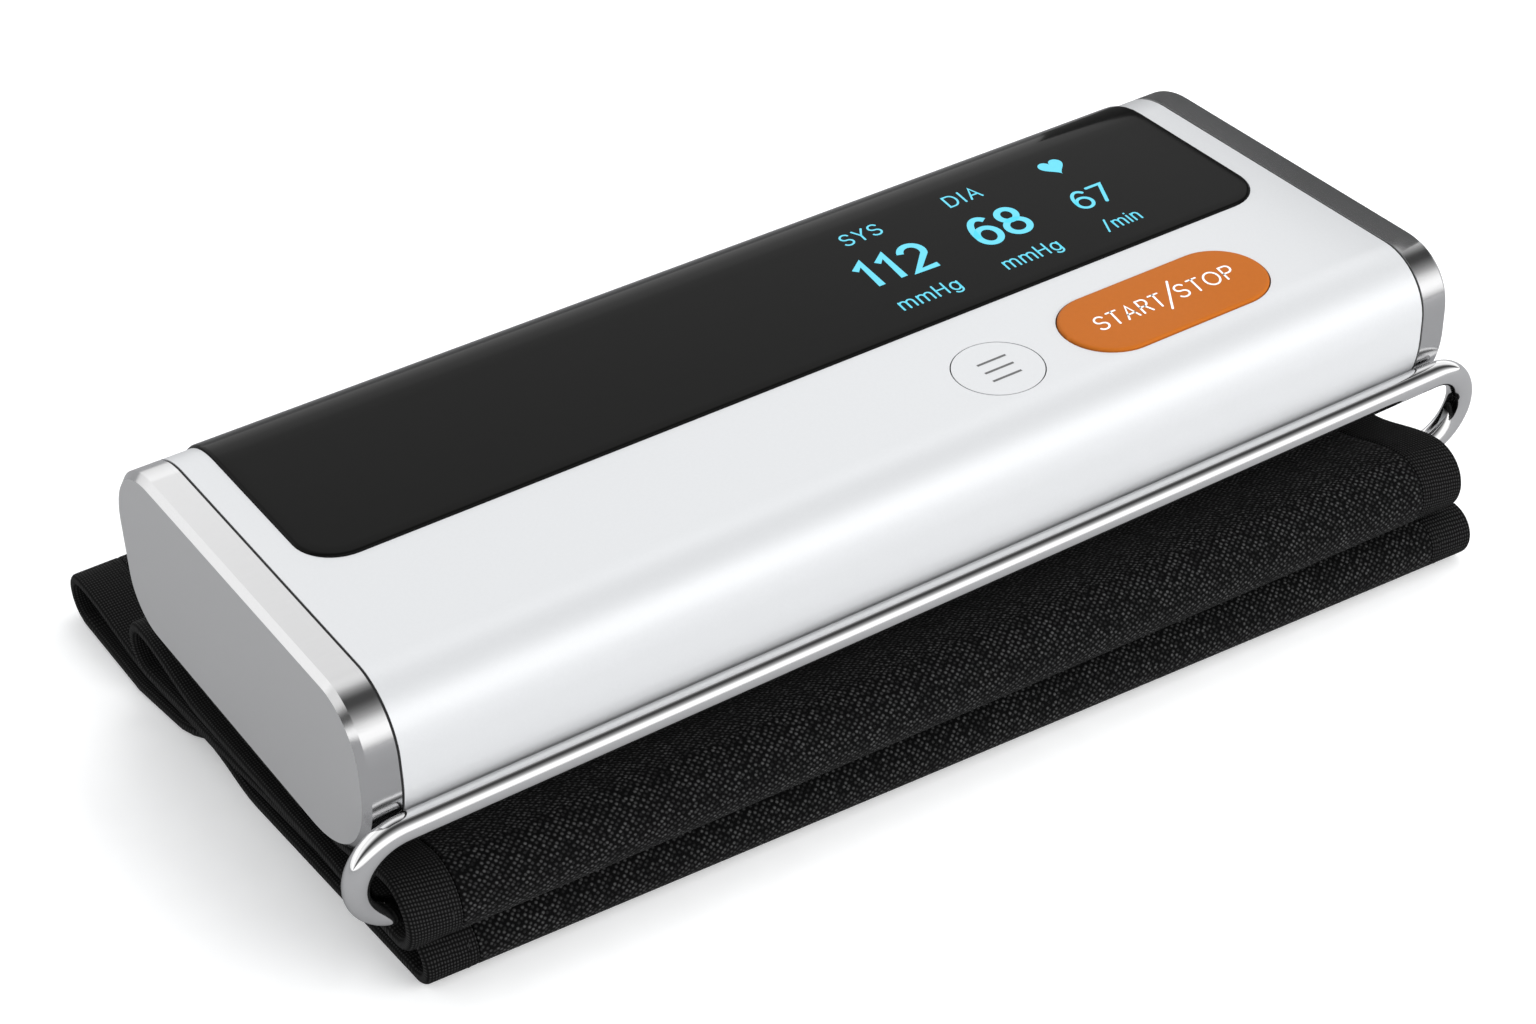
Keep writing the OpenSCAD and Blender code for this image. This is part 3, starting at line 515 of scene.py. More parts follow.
# the start button: a long rounded slab with a soft edge, two ears below that
# keep it in, and a stem that presses the switch
startButton = {"x": 37.6, "y": -16.4, "half": 13.5, "halfWide": 5.8, "low": 21.85, "top": 23.8,
               "earReach": 1.6, "earHalf": 3.0, "earDeep": 0.8, "stemR": 1.5, "stemLow": 19.05}


def makeStartButton():
    v = startButton
    height = v["top"] - v["low"]
    lay = layFlat(v["x"], v["y"], v["low"] + baseZ)
    rings = [
        (0.02, 0.0), (0.0, 0.05), (0.0, height - 0.3), (0.04, height - 0.17),
        (0.13, height - 0.06), (0.28, height - 0.01), (0.45, height), (1.5, height),
    ]
    r = v["halfWide"]
    cap = makePlate(
        "startButtonCap", (v["half"], -r, r, r, r), rings, lay, "start", "button_orange",
        straight=24, bend=10,
    )
    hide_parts("start_button")
    ear, deep, r = v["earHalf"], v["earDeep"], v["stemR"]
    makePlate(
        "startButtonEars", (v["half"] + v["earReach"], -ear, ear, 0.6, 0.6),
        [(0.05, -deep), (0.0, 0.05 - deep), (0.0, -0.05), (0.05, 0.0)],
        lay, "start", "button_orange", straight=12, bend=3,
    )
    foot = v["stemLow"] - v["low"]
    makePlate(
        "startButtonStem", (r, -r, r, r, r),
        [(0.1, foot), (0.0, foot + 0.1), (0.0, -deep - 0.05), (0.05, -deep)],
        lay, "start", "button_orange", straight=4, bend=4,
    )


makeStartButton()
print("glass and start button")

# the wire ring: a circle swept round a long loop
wireRing = {"radius": 1.5, "straight": 67.05, "endR": 5.45, "y": -28.3, "z": 11.8, "x": 0.3,
            "lean": 5.43, "around": 40, "perBend": 56, "perBar": 60}


# the loop's own plane holds x and height; a point of the wire is the loop's
# point plus the radius times cos along the outward normal and sin across it
def makeRing():
    v = wireRing
    bend = np.linspace(0, math.pi, v["perBend"])
    bar = np.linspace(-v["straight"], v["straight"], v["perBar"])[1:-1]
    px = np.concatenate([
        bar, v["straight"] + v["endR"] * np.sin(bend), -bar,
        -v["straight"] - v["endR"] * np.sin(bend),
    ])
    pz = np.concatenate([
        0 * bar, v["endR"] - v["endR"] * np.cos(bend), 0 * bar + 2 * v["endR"],
        v["endR"] + v["endR"] * np.cos(bend),
    ])
    ox = np.concatenate([0 * bar, np.sin(bend), 0 * bar, -np.sin(bend)])
    oz = np.concatenate([0 * bar - 1, -np.cos(bend), 0 * bar + 1, np.cos(bend)])
    a = np.linspace(0, 2 * math.pi, v["around"], endpoint=False)[None, :]
    r = v["radius"]
    x = px[:, None] + r * np.cos(a) * ox[:, None]
    up = pz[:, None] + r * np.cos(a) * oz[:, None]
    out = r * np.sin(a) + 0 * x
    lean = math.radians(v["lean"])
    y = v["y"] + out * math.cos(lean) - up * math.sin(lean)
    z = v["z"] + out * math.sin(lean) + up * math.cos(lean)
    points = np.stack([x + v["x"], y, z], -1).reshape(-1, 3)
    faces = gridFaces(len(px), v["around"], True, True)
    piece = makePiece("wireRing", points, faces[:, ::-1], "ring", "ring_chrome")
    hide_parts("wire_ring")


makeRing()
print("wire ring")

# the cuff strip, folded four times under the housing. Each fold has its depth
# (left and right where two), height and radius. The four runs between them settle
# to runZ over runEase, and the first three then bend by a height over a length.
# shifts are sideways, from the free end over the folds to the fixed end.
cuff = {"width": 135.4, "half": 0.7, "hem": 6.0, "freeEnd": 17.5, "cornerR": 7.0,
        "skin": 0.25, "bladderHalf": 0.2, "bladderIn": 1.4, "bladderSkip": 83,
        "runZ": (2.9, 4.7, 8.2, 13.05), "runEase": (17, 22, 14, 11),
        "runBend": ((-2.2, 10), (0.4, 16), (-0.5, 14)),
        "backFold": (47.0, 3.5, 2.8), "lowFold": (26.6, 33.8, 3.4, 2.7),
        "midFold": (28.5, 8.1, 3.0), "upFold": (27.6, 32.4, 11.5, 3.8), "endY": -10.0,
        "shifts": (-0.7, -2.3, 1.25, -2.4, -1.0, -1.5)}


def ease(t):
    c = np.clip(t, 0, 1)
    return c * c * (3 - 2 * c)


def mix(a, b, t):
    return a + (b - a) * t


# the strip's middle line at each u from 0, left, to 1, right: rows of depth,
# height and sideways shift from the free end to the edge under the housing
def cuffCourse(u, fine=1):
    v = cuff
    u = u[:, None]
    free, back, low, mid, up, anchor = v["shifts"]
    f1 = -mix(v["lowFold"][0], v["lowFold"][1], u)
    f2 = -mix(v["upFold"][0], v["upFold"][1], u)
    (by, bz, br), (my, mz, mr) = v["backFold"], v["midFold"]
    lz, lr, uz, ur = *v["lowFold"][2:], *v["upFold"][2:]
    (z1, z2, z3, z4), (e1, e2, e3, e4) = v["runZ"], v["runEase"]
    (h1, s1), (h2, s2), (h3, s3) = v["runBend"]
    one = np.ones_like(u)

    def turnRows(cy, cz, r, start, stop, shift, count):
        a = np.radians(np.linspace(start, stop, count * fine))[None, :]
        return cy * one + r * np.cos(a), cz * one + r * np.sin(a), shift + 0 * a * one

    def runRows(y0, y1, count):
        t = np.linspace(0, 1, count * fine + 2)[None, 1:-1]
        return mix(y0 * one, y1 * one, t), t * one

    lead = 1 - np.cos(np.linspace(0, math.pi / 2, 16 * fine))[None, :]
    y0 = mix(v["freeEnd"], by, lead) * one
    drift = mix(free, back, np.minimum(lead * 2, 1)) * one
    rows = [(y0[:, :-1], v["half"] + 0 * y0[:, :-1], drift[:, :-1])]
    rows.append(turnRows(by, bz, br, -90, 90, back, 22))
    y, t = runRows(by, f1, 46)
    z = mix(bz + br, z1, ease((by - y) / e1)) + h1 * ease((v["freeEnd"] - 1 - y) / s1)
    rows.append((y, z, mix(back, low, t)))
    rows.append(turnRows(f1, lz, lr, -90, -270, low, 26))
    y, t = runRows(f1, my, 40)
    z = mix(lz + lr, z2, ease((y - f1) / e2)) + h2 * ease((y - my + 22) / s2)
    rows.append((y, z, mix(low, mid, t)))
    rows.append(turnRows(my, mz, mr, -90, 90, mid, 22))
    y, t = runRows(my, f2, 40)
    z = mix(mz + mr, z3, ease((my - y) / e3)) + h3 * ease((f2 + 16 - y) / s3)
    rows.append((y, z, mix(mid, up, t)))
    rows.append(turnRows(f2, uz, ur, -90, -270, up, 30))
    y, t = runRows(f2, v["endY"], 20)
    z = mix(uz + ur, z4, ease((y - f2) / e4))
    rows.append((y, z, mix(up, anchor, t)))
    rows.append((v["endY"] * one, z4 * one, anchor * one))
    return [np.concatenate([r[k] for r in rows], axis=1) for k in range(3)]


# a closed slab between two places across the strip and two distances from its
# middle line, less the first rows of the course where skip is given. Its two
# edges are half rounds of the given radii, the top goes one way across and the
# bottom comes back. Also gives the course's length along the slab's left edge.
def makeStrip(name, node, u0, u1, low, high, slotName, roundLow, roundHigh, across, skip=0,
              materials=None, endBand=0.0):
    v = cuff
    width = (u1 - u0) * v["width"]
    half, middle = (high - low) / 2, (high + low) / 2
    e = np.linspace(0, 1, 6)[:-1]
    lift = np.sqrt(1 - (1 - e) ** 2)
    topX = np.concatenate([roundLow * e, np.linspace(roundLow, width - roundHigh, across),
                           (width - roundHigh * e)[::-1]])
    topH = np.concatenate([lift, np.ones(across), lift[::-1]])
    x = np.concatenate([topX, topX[1:-1][::-1]])
    h = np.concatenate([topH, -topH[1:-1][::-1]])
    u = u0 + x / v["width"]
    y, z, shift = [a[:, skip:] for a in cuffCourse(u)]
    dy, dz = np.gradient(y, axis=1), np.gradient(z, axis=1)
    size = np.maximum(np.hypot(dy, dz), 1e-9)
    ny, nz = -dz / size, dy / size
    off = middle + half * h[:, None]
    run = np.concatenate([np.zeros((len(u), 1)), np.cumsum(size[:, 1:], axis=1)], axis=1)
    # the free end's round corners draw the edges in
    if skip == 0:
        r = v["cornerR"]
        near = np.clip(r - run, 0, r)
        inset = r - np.sqrt(np.maximum(r * r - near * near, 0))
        halfWide = v["width"] / 2
        place = (u[:, None] - 0.5) * v["width"] * (halfWide - inset) / halfWide
    else:
        place = (u[:, None] - 0.5) * v["width"] + 0 * run
    points = np.stack([place + shift, y + off * ny, z + off * nz], -1)
    count, length = points.shape[:2]
    uvX = np.repeat((u * v["width"])[:, None], length, 1)
    uv = np.stack([uvX, run + np.where(h[:, None] < 0, 0.13, 0.0)], -1)
    faces = gridFaces(count, length, closeRows=True)
    number = np.arange(count * length).reshape(count, length)
    # each end is closed by one face across the outline
    allFaces = faces.tolist() + [number[::-1, 0].tolist(), number[:, -1].tolist()]
    index = None
    if endBand:
        column = np.tile(np.arange(length - 1), count)
        index = np.concatenate([run[0][column] < endBand, [0, 0]])
    piece = makePiece(name, points.reshape(-1, 3), allFaces, "base", slotName, materials, index,
                      uv.reshape(-1, 2))
    work = bmesh.new()
    work.from_mesh(piece.data)
    bmesh.ops.remove_doubles(work, verts=work.verts, dist=1e-7)
    bmesh.ops.recalc_face_normals(work, faces=work.faces)
    work.to_mesh(piece.data)
    work.free()
    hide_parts(node)
    return piece, float(run[0][-1])


hemU = cuff["hem"] / cuff["width"]
face, skin = cuff["half"], cuff["skin"]  # from the middle line to either side of a cloth
cloth = [finishes["cuff_cloth"], finishes["binding_cloth"]]
outer, stripLength = makeStrip(
    "cuffOuterCloth", "cuff_fabric", hemU, 1 - hemU, skin, face, "cuff_cloth", 0.25, 0.25, 60,
    materials=cloth, endBand=cuff["hem"],
)
lining, _ = makeStrip(
    "cuffLiningCloth", "cuff_lining", hemU, 1 - hemU, -face, -skin, "cuff_cloth", 0.25, 0.25, 60,
    materials=cloth, endBand=cuff["hem"],
)
leftHem, _ = makeStrip("leftBinding", "left_hem", 0.0, hemU, -face, face, "binding_cloth",
                       0.6, 0.25, 8)
rightHem, _ = makeStrip("rightBinding", "right_hem", 1 - hemU, 1.0, -face, face, "binding_cloth",
                        0.25, 0.6, 8)
print("cuff strip", round(stripLength, 1))


# short thread capsules along the bindings, on both faces
stitch = {"pitch": 2.3, "length": 1.7, "radius": 0.13, "inset": 1.1, "sink": 0.1}


# each capsule is four hexagons along the strip's own direction at its place;
# places are picked every pitch of the running length
def makeStitches(name, u):
    v = stitch
    y, z, shift = [a[0] for a in cuffCourse(np.array([u]), 3)]
    dy, dz = np.gradient(y), np.gradient(z)
    run = np.concatenate([[0], np.cumsum(np.hypot(np.diff(y), np.diff(z)))])
    at = np.arange(3.0, run[-1] - 3.0, v["pitch"])
    cy, cz, cx = [np.interp(at, run, a) for a in (y, z, shift)]
    ty, tz = np.interp(at, run, dy), np.interp(at, run, dz)
    size = np.hypot(ty, tz)
    ty, tz = (ty / size)[:, None, None], (tz / size)[:, None, None]
    along = (np.array([-0.5, -0.3, 0.3, 0.5]) * v["length"])[None, :, None]
    girth = (np.array([0.35, 1.0, 1.0, 0.35]) * v["radius"])[None, :, None]
    a = np.linspace(0, 2 * math.pi, 6, endpoint=False)[None, None, :]
    blocks = []
    for side in (1, -1):
        lift = side * (cuff["half"] - v["sink"]) + girth * np.sin(a)
        x = (u - 0.5) * cuff["width"] + cx[:, None, None] + girth * np.cos(a)
        py = cy[:, None, None] + along * ty - lift * tz
        pz = cz[:, None, None] + along * tz + lift * ty
        x = x + 0 * py
        blocks.append(np.stack([x, py, pz], -1).reshape(-1, 3))
    points = np.concatenate(blocks)
    one = gridFaces(4, 6, closeColumns=True)
    caps = [list(range(5, -1, -1)), list(range(18, 24))]
    base = (np.arange(len(points) // 24) * 24)[:, None, None]
    faces = (one[None] + base).reshape(-1, 4).tolist()
    for cap in caps:
        faces += (np.array(cap)[None] + base[:, 0]).tolist()
    makePiece(name, points, faces, "base", "binding_cloth", uv=points[:, :2])


inset = (cuff["hem"] - stitch["inset"]) / cuff["width"]
makeStitches("leftStitches", inset)
makeStitches("rightStitches", 1 - inset)
print("stitches")

sideU = cuff["bladderIn"] * hemU
bladder, _ = makeStrip(
    "airBladder", "cuff_bladder", sideU, 1 - sideU, -cuff["bladderHalf"], cuff["bladderHalf"],
    "bladder_film", 0.15, 0.15, 40, skip=cuff["bladderSkip"],
)


# a merged copy of a flat cloth node, mapped in millimetres along its width
# and over its height and depth together
def clothCopy(node, name, slotName):
    mesh, at = mergedCopy(node, name, [finishes[slotName]])
    layer = mesh.uv_layers.new(name="cloth")
    layer.data.foreach_set("uv", np.stack([at[:, 0], at[:, 1] + at[:, 2]], -1).ravel())
    mesh.set_sharp_from_angle(angle=math.radians(35))
    piece = addPiece(name, mesh, "base")
    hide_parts(node)
    return piece


anchorPanel = clothCopy("cuff_anchor_panel", "anchorPanel", "cuff_cloth")
ringSleeve = clothCopy("ring_sleeve", "ringWebbing", "binding_cloth")
# outline as for roundRing, and the place of the plate's origin
hook = {"outline": (51.7, -10.0, 10.0, 3.0, 3.0), "place": (-2.3, 29.5, 1.45)}
tab = {"outline": (5.5, -9.95, 6.5, 0.8, 2.5), "place": (-4.0, 0.0, baseZ - 1.95)}
hookPatch = makePlate(
    "hookPatch", hook["outline"],
    [(0.1, 0.0), (0.0, 0.08), (0.0, 0.45), (0.12, 0.58), (0.4, 0.6)],
    layFlat(*hook["place"]), "base", "hook_cloth", mapped=True,
)
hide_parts("hook_patch")
bladderTab = makePlate(
    "bladderTab", tab["outline"], [(0.05, 0.0), (0.0, 0.05), (0.0, 0.4), (0.05, 0.45)],
    layFlat(*tab["place"]), "base", "bladder_film", straight=9, bend=4,
)
print("panel, sleeve, patch and bladder")


# lettering: each letter is a few pen strokes of one width, of arcs and lines
def arc(cx, cy, rx, ry, start, stop, count=18):
    a = np.radians(np.linspace(start, stop, count))
    return np.stack([cx + rx * np.cos(a), cy + ry * np.sin(a)], -1)


def line(*places):
    return np.array(places, float)


def joined(*parts):
    return np.concatenate(parts)


# strokes and width of each letter, for a capital one unit high
letters = {
    "S": ([joined(arc(0.29, 0.75, 0.27, 0.25, 25, 270), arc(0.29, 0.25, 0.29, 0.25, 90, -155))],
          0.58),
    "Y": ([line((0, 1), (0.31, 0.45), (0.62, 1)), line((0.31, 0.45), (0.31, 0))], 0.62),
    "D": ([joined(line((0.28, 0), (0, 0), (0, 1), (0.28, 1)), arc(0.28, 0.5, 0.36, 0.5, 90, -90))],
          0.64),
    "I": ([line((0, 0), (0, 1))], 0.0),
    "A": ([line((0, 0), (0.34, 1), (0.68, 0)), line((0.12, 0.34), (0.56, 0.34))], 0.68),
    "H": ([line((0, 0), (0, 1)), line((0.6, 0), (0.6, 1)), line((0, 0.52), (0.6, 0.52))], 0.6),
    "T": ([line((0, 1), (0.56, 1)), line((0.28, 1), (0.28, 0))], 0.56),
    "R": ([joined(line((0, 0), (0, 1), (0.28, 1)), arc(0.28, 0.74, 0.25, 0.26, 90, -90),
                  line((0, 0.48))), line((0.3, 0.48), (0.55, 0))], 0.55),
    "O": ([arc(0.42, 0.5, 0.42, 0.5, 0, 360, 40)], 0.84),
    "P": ([joined(line((0, 0), (0, 1), (0.28, 1)), arc(0.28, 0.73, 0.26, 0.27, 90, -90),
                  line((0, 0.46)))], 0.54),
    "m": ([line((0, 0), (0, 0.7)),
           joined(arc(0.21, 0.46, 0.21, 0.24, 180, 0), line((0.42, 0))),
           joined(arc(0.63, 0.46, 0.21, 0.24, 180, 0), line((0.84, 0)))], 0.84),
    "n": ([line((0, 0), (0, 0.7)), joined(arc(0.22, 0.46, 0.22, 0.24, 180, 0), line((0.44, 0)))],
          0.44),
    "i": ([line((0, 0), (0, 0.7)), line((0, 0.93), (0, 0.96))], 0.0),
    "g": ([arc(0.26, 0.35, 0.26, 0.35, 0, 360, 36),
           joined(line((0.52, 0.7), (0.52, -0.04)), arc(0.27, -0.04, 0.25, 0.22, 0, -150))], 0.52),
    "/": ([line((0, -0.1), (0.42, 1.05))], 0.42),
    "1": ([line((0, 0.78), (0.26, 1.0), (0.26, 0))], 0.3),
    "2": ([joined(arc(0.3, 0.7, 0.29, 0.3, 165, -28), line((0.02, 0), (0.6, 0)))], 0.6),
    "6": ([joined(arc(0.36, 0.40, 0.35, 0.60, 52, 180), arc(0.31, 0.31, 0.30, 0.31, 180, 540, 40))],
          0.62),
    "8": ([arc(0.31, 0.76, 0.25, 0.24, 0, 360, 36), arc(0.31, 0.27, 0.31, 0.27, 0, 360, 40)], 0.62),
    "7": ([line((0, 1), (0.58, 1), (0.2, 0))], 0.58),
    "-": ([line((0, 0.5), (1, 0.5))], 1.0),
}


# a stroke becomes a flat ribbon: each point moves half the width to both
# sides along the mitre of its neighbours, and round strokes end in half discs
def ribbon(path, width, roundEnds):
    keep = np.concatenate([[True], np.hypot(*np.diff(path, axis=0).T) > 1e-6])
    path = path[keep]
    closed = np.hypot(*(path[0] - path[-1])) < 1e-6
    step = np.diff(path, axis=0)
    step /= np.hypot(*step.T)[:, None]
    before = np.concatenate([step[-1:] if closed else step[:1], step])
    after = np.concatenate([step, step[:1] if closed else step[-1:]])
    side = np.stack([-(before + after)[:, 1], (before + after)[:, 0]], -1)
    size = np.hypot(*side.T)
    side = side / np.maximum(size, 0.6)[:, None]
    grow = 1 / np.maximum((side * np.stack([-after[:, 1], after[:, 0]], -1)).sum(1), 0.55)
    reach = side * (width / 2 * grow)[:, None]
    points = np.concatenate([path + reach, path - reach])
    n = len(path)
    k = np.arange(n - 1)
    faces = [list(f) for f in np.stack([k, k + n, k + n + 1, k + 1], -1)]
    if roundEnds and not closed:
        for at, way in ((path[0], -step[0]), (path[-1], step[-1])):
            a = np.linspace(-math.pi / 2, math.pi / 2, 9)
            across = np.array([-way[1], way[0]])
            disc = at + width / 2 * (np.cos(a)[:, None] * way + np.sin(a)[:, None] * across)
            faces.append(list(range(len(points), len(points) + 9)))
            points = np.concatenate([points, disc])
    return points, faces


# words are laid between x0 and x1 on a baseline, leaning by slant, and lifted
# a hair above the surface they are printed on
def makeWords(name, text, x0, x1, baseline, height, pen, z, body, material, slotName,
              slant=0.1, gap=0.2, roundEnds=True, lift=0.02):
    penShare = pen / height
    places, at = [], 0.0
    for letter in text:
        strokes, width = letters[letter]
        places.append((strokes, at))
        at += width + penShare + gap
    natural = at - penShare - gap
    wide = (x1 - x0 - pen) / natural
    tall = height - pen
    allPoints, allFaces, start = [], [], 0
    for strokes, shift in places:
        for stroke in strokes:
            path = np.stack([(stroke[:, 0] + shift) * wide, stroke[:, 1] * tall], -1)
            points, faces = ribbon(path, pen, roundEnds)
            allPoints.append(points)
            allFaces += [[i + start for i in f] for f in faces]
            start += len(points)
    flat = np.concatenate(allPoints)
    x = flat[:, 0] + x0 + pen / 2 + slant * (flat[:, 1] - height / 2)
    y = flat[:, 1] + baseline + pen / 2
    points = np.stack([x, y, np.full(len(x), z + lift)], -1)
    makePiece(name, points, allFaces, body, slotName, [material])


def glowMaterial(name, color, strength):
    mat, tree, surface, place = startMaterial(name, (0.004, 0.004, 0.004), 0.0, 0.4)
    cells = addNode(
        tree, "ShaderNodeTexNoise", {"Scale": 900.0, "Detail": 1.0},
        {"Vector": place.outputs["Object"]},
    )
    level = addNode(
        tree, "ShaderNodeMapRange", {"To Min": strength * 0.94, "To Max": strength * 1.06},
        {"Value": cells.outputs["Fac"]},
    )
    surface.inputs["Emission Color"].default_value = (*color, 1.0)
    tree.links.new(level.outputs["Result"], surface.inputs["Emission Strength"])
    return mat


readoutGlow = glowMaterial("readoutGlow", (0.12, 0.74, 0.95), 1.0)
printWhite = grainMaterial("printWhite", (0.86, 0.86, 0.85), 0.0, 0.5, bump=0.0)
printGrey = grainMaterial("printGrey", (0.10, 0.10, 0.10), 0.0, 0.5, bump=0.0)
glassTop = baseZ + glass["bendZ"] + glass["radius"] + glass["proud"]

# name, words, left, right, baseline, height and pen width, all in mm
readout = [
    ("wordSystolic", "SYS", 15.5, 20.9, 13.33, 2.5, 0.27, 0.2),
    ("figuresSystolic", "112", 12.6, 22.5, 3.83, 6.15, 0.88, 0.19),
    ("unitSystolic", "mmHg", 13.0, 21.2, -1.54, 2.45, 0.25, 0.22),
    ("wordDiastolic", "DIA", 30.25, 35.1, 13.33, 2.5, 0.27, 0.25),
    ("figuresDiastolic", "68", 28.4, 36.1, 3.75, 6.25, 0.86, 0.14),
    ("unitDiastolic", "mmHg", 27.5, 35.4, -1.5, 2.45, 0.25, 0.22),
    ("figuresPulse", "67", 42.25, 47.5, 3.75, 4.05, 0.46, 0.12),
    ("unitPulse", "/min", 41.7, 46.9, -1.58, 2.35, 0.25, 0.22),
]
for name, words, x0, x1, base, height, pen, gap in readout:
    makeWords(name, words, x0, x1, base, height, pen, glassTop, "base", readoutGlow,
              "display_black", gap=gap, roundEnds=pen < 0.6)


# a heart: x = 16 sin^3 t, y = 13 cos t - 5 cos 2t - 2 cos 3t - cos 4t
def makeHeart(x, top, wide, tall):
    t = np.linspace(0, 2 * math.pi, 72, endpoint=False)
    hx = 16 * np.sin(t) ** 3 / 32
    hy = 13 * np.cos(t) - 5 * np.cos(2 * t) - 2 * np.cos(3 * t) - np.cos(4 * t)
    hy = (hy - hy.max()) / (hy.max() - hy.min())
    place = np.stack([x + hx * wide, top + hy * tall, np.full(72, glassTop + 0.02)], -1)
    middle = np.array([[x, top - 0.42 * tall, glassTop + 0.02]])
    k = np.arange(72)
    faces = np.stack([np.full(72, 72), k, (k + 1) % 72], -1)[:, ::-1]
    makePiece("heartMark", np.concatenate([place, middle]), faces, "base", "display_black",
              [readoutGlow])


makeHeart(45.45, 15.3, 3.2, 3.35)
buttonTop = baseZ + startButton["top"]
makeWords("wordStart", "START", 28.1, 37.5, -17.65, 2.7, 0.27, buttonTop, "start", printWhite,
          "button_orange", slant=0.18, gap=0.2)
makeWords("wordStop", "STOP", 39.4, 47.6, -17.65, 2.7, 0.27, buttonTop, "start", printWhite,
          "button_orange", slant=0.18, gap=0.2)
makeWords("startSlash", "/", 36.9, 40.2, -18.3, 4.4, 0.28, buttonTop, "start", printWhite,
          "button_orange", slant=0.0)
for k, y in enumerate((-14.75, -16.45, -18.15)):
    makeWords(f"menuLine{k + 1}", "-", 12.65 + 0.2 * (1 - k), 16.8 + 0.2 * (1 - k), y - 0.17, 0.34,
              0.33, baseZ + 23.5, "memory", printGrey, "button_silver", slant=0.0, roundEnds=False)
print("lettering")


# floor and light. A softbox has its name, place, size and power, and points at
# the origin. The flag is one x, two depths and two heights in millimetres.
# mirrored pairs an angle in degrees with a level of light. Those levels began as
# tones read on the right rim in the photograph over the rim's base colour, and
# were then changed until renders came near it.
studio = {
    "sky": 1.0, "floorHalf": 4.0, "floorZ": -5e-5, "floorGlow": 0.18,
    "floorMirrored": (0.34, 0.34, 0.345), "flag": (76.0, -21.0, 62.0, 30.0, 49.0),
    "softboxes": [("keyLight", (0.35, 0.25, 0.9), (0.5, 0.5), 1.6),
                  ("frontLight", (0.42, -0.76, 0.50), (0.8, 0.5), 6.2)],
    "mirroredTop": 1.6,
    "mirrored": [(0, 0.75), (9, 1.3), (16, 1.5), (26, 1.5), (39, 1.1), (50, 0.5), (60, 0.24),
                 (72, 0.06), (86, 0.06), (99, 0.42), (109, 0.95), (119, 1.1), (139, 1.0),
                 (150, 1.4), (180, 1.0)],
}


def makeFloor():
    mesh = bpy.data.meshes.new("floor")
    reach, z = studio["floorHalf"], studio["floorZ"]
    mesh.from_pydata(
        [(-reach, -reach, z), (reach, -reach, z), (reach, reach, z), (-reach, reach, z)],
        [], [(0, 1, 2, 3)],
    )
    floor = bpy.data.objects.new("floor", mesh)
    scene.collection.objects.link(floor)
    white = grainMaterial("floorWhite", (0.93, 0.93, 0.93), 0.0, 0.75, 300, bump=0.0)
    surface = white.node_tree.nodes["Principled BSDF"]
    surface.inputs["Emission Color"].default_value = (1, 1, 1, 1)
    surface.inputs["Emission Strength"].default_value = studio["floorGlow"]
    # mirrors see the floor in its shade, as bright metal in a white room does
    tree = white.node_tree
    shade = addNode(tree, "ShaderNodeBsdfDiffuse", {"Color": (*studio["floorMirrored"], 1)})
    seen = tree.nodes.new("ShaderNodeLightPath")
    both = addNode(tree, "ShaderNodeMixShader", None, {"Fac": seen.outputs["Is Glossy Ray"]})
    tree.links.new(surface.outputs[0], both.inputs[1])
    tree.links.new(shade.outputs[0], both.inputs[2])
    tree.links.new(both.outputs[0], tree.nodes["Material Output"].inputs["Surface"])
    mesh.materials.append(white)


makeFloor()


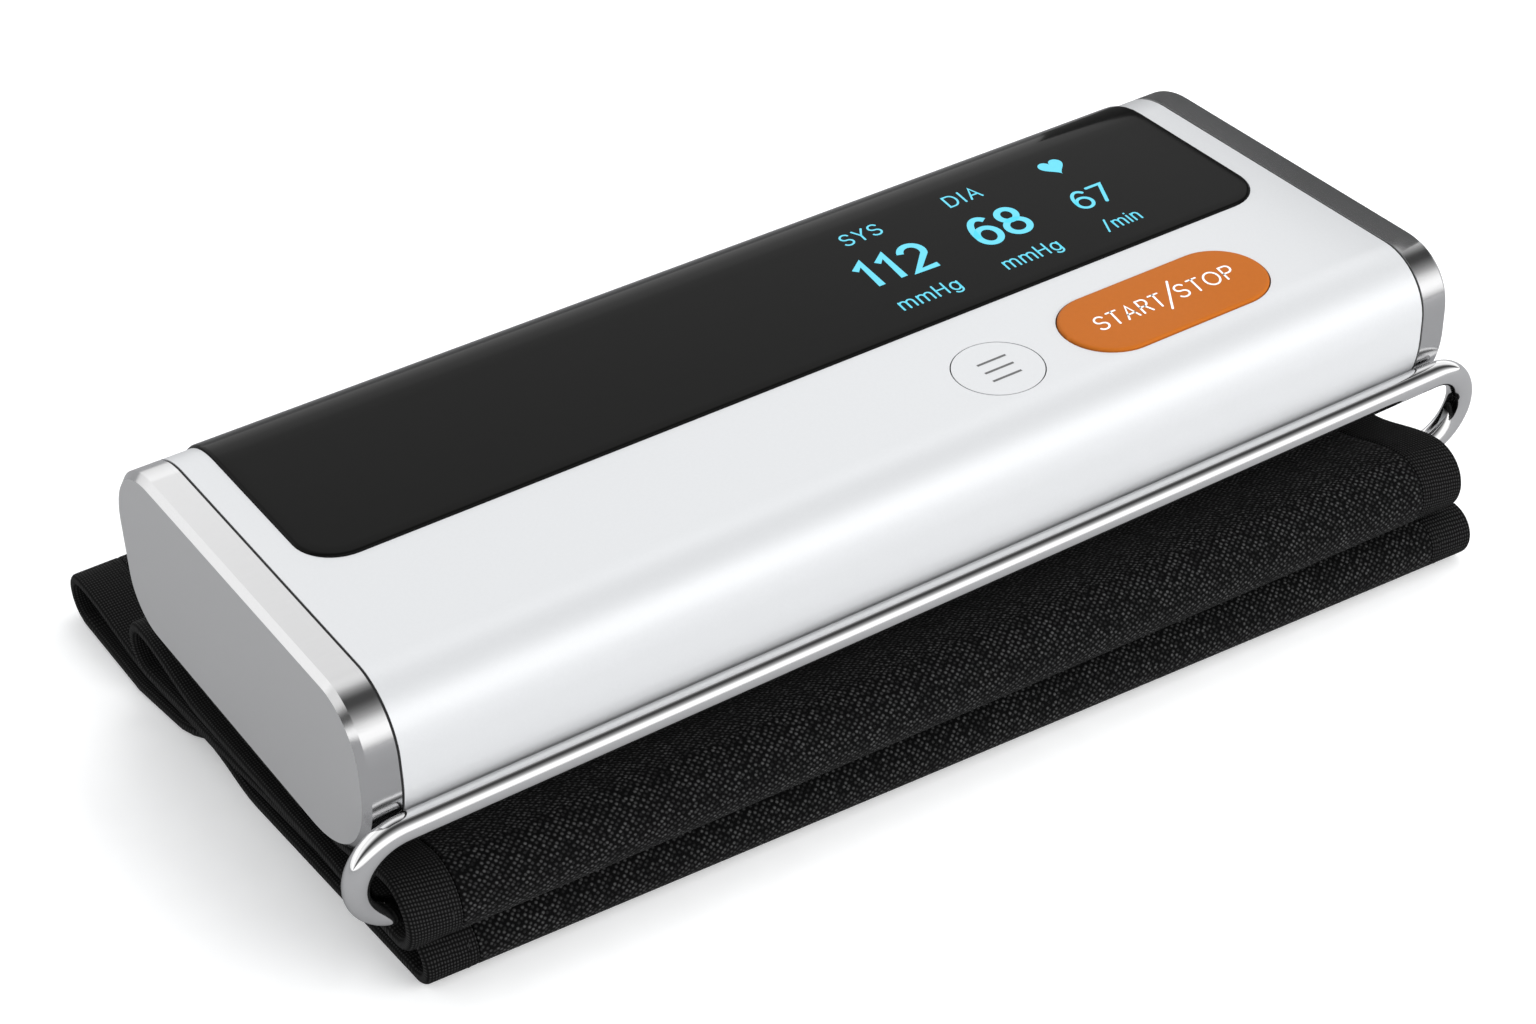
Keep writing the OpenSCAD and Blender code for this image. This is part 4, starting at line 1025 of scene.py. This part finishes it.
# the studio: even light for rough surfaces, and for mirrors a curve of light
# over the angle from the front horizon, over the top, to the back horizon
def makeStudio():
    world = bpy.data.worlds.new("studio")
    scene.world = world
    world.use_nodes = True
    tree = world.node_tree
    tree.nodes.clear()
    place = tree.nodes.new("ShaderNodeTexCoord")
    split = addNode(tree, "ShaderNodeSeparateXYZ", None, {"Vector": place.outputs["Generated"]})
    front = addNode(tree, "ShaderNodeMath", {1: -1.0}, {0: split.outputs["Y"]},
                    operation="MULTIPLY")
    angle = addNode(tree, "ShaderNodeMath", None,
                    {0: split.outputs["Z"], 1: front.outputs[0]}, operation="ARCTAN2")
    share = addNode(tree, "ShaderNodeMath", {1: math.pi}, {0: angle.outputs[0]},
                    operation="DIVIDE")
    ramp = addNode(tree, "ShaderNodeValToRGB", None, {"Fac": share.outputs[0]})
    top = studio["mirroredTop"]  # a ramp's colours stay below 1, so its strength makes up for it
    stops = [(degrees / 180, level / top) for degrees, level in studio["mirrored"]]
    ends = ramp.color_ramp.elements
    ends[0].position, ends[1].position = stops[0][0], stops[-1][0]
    ends[0].color, ends[1].color = (stops[0][1],) * 3 + (1,), (stops[-1][1],) * 3 + (1,)
    for at, level in stops[1:-1]:
        ends.new(at).color = (level, level, level, 1)
    mirrored = addNode(tree, "ShaderNodeBackground", {"Strength": top},
                       {"Color": ramp.outputs["Color"]})
    even = addNode(tree, "ShaderNodeBackground",
                   {"Color": (0.98, 0.99, 1.0, 1), "Strength": studio["sky"]})
    pale = addNode(tree, "ShaderNodeBackground", {"Color": (1, 1, 1, 1), "Strength": 1.0})
    seen = tree.nodes.new("ShaderNodeLightPath")
    lit = addNode(tree, "ShaderNodeMixShader", None, {"Fac": seen.outputs["Is Glossy Ray"]})
    tree.links.new(even.outputs[0], lit.inputs[1])
    tree.links.new(mirrored.outputs[0], lit.inputs[2])
    both = addNode(tree, "ShaderNodeMixShader", None, {"Fac": seen.outputs["Is Camera Ray"]})
    tree.links.new(lit.outputs[0], both.inputs[1])
    tree.links.new(pale.outputs[0], both.inputs[2])
    out = tree.nodes.new("ShaderNodeOutputWorld")
    tree.links.new(both.outputs[0], out.inputs["Surface"])


# a soft light seen by neither the camera nor mirrors
def addSoftbox(name, at, size, power):
    data = bpy.data.lights.new(name, "AREA")
    data.shape = "RECTANGLE"
    data.size, data.size_y = size
    data.energy = power
    lamp = bpy.data.objects.new(name, data)
    scene.collection.objects.link(lamp)
    lamp.location = at
    lamp.rotation_euler = (-Vector(at)).to_track_quat("-Z", "Y").to_euler()
    lamp.visible_camera = lamp.visible_glossy = False


# a small dark flag beside the right cap, seen only by mirrors, so that the
# polished rim there reads as dark metal
def makeFlag():
    mesh = bpy.data.meshes.new("flag")
    x, y0, y1, z0, z1 = [a * mm for a in studio["flag"]]
    mesh.from_pydata([(x, y0, z0), (x, y1, z0), (x, y1, z1), (x, y0, z1)], [], [(0, 3, 2, 1)])
    mesh.materials.append(grainMaterial("flagGrey", (0.14, 0.14, 0.14), 0.0, 0.9))
    flag = bpy.data.objects.new("flag", mesh)
    scene.collection.objects.link(flag)
    flag.visible_camera = flag.visible_shadow = flag.visible_diffuse = False


makeStudio()
makeFlag()
for softbox in studio["softboxes"]:
    addSoftbox(*softbox)
print("studio")
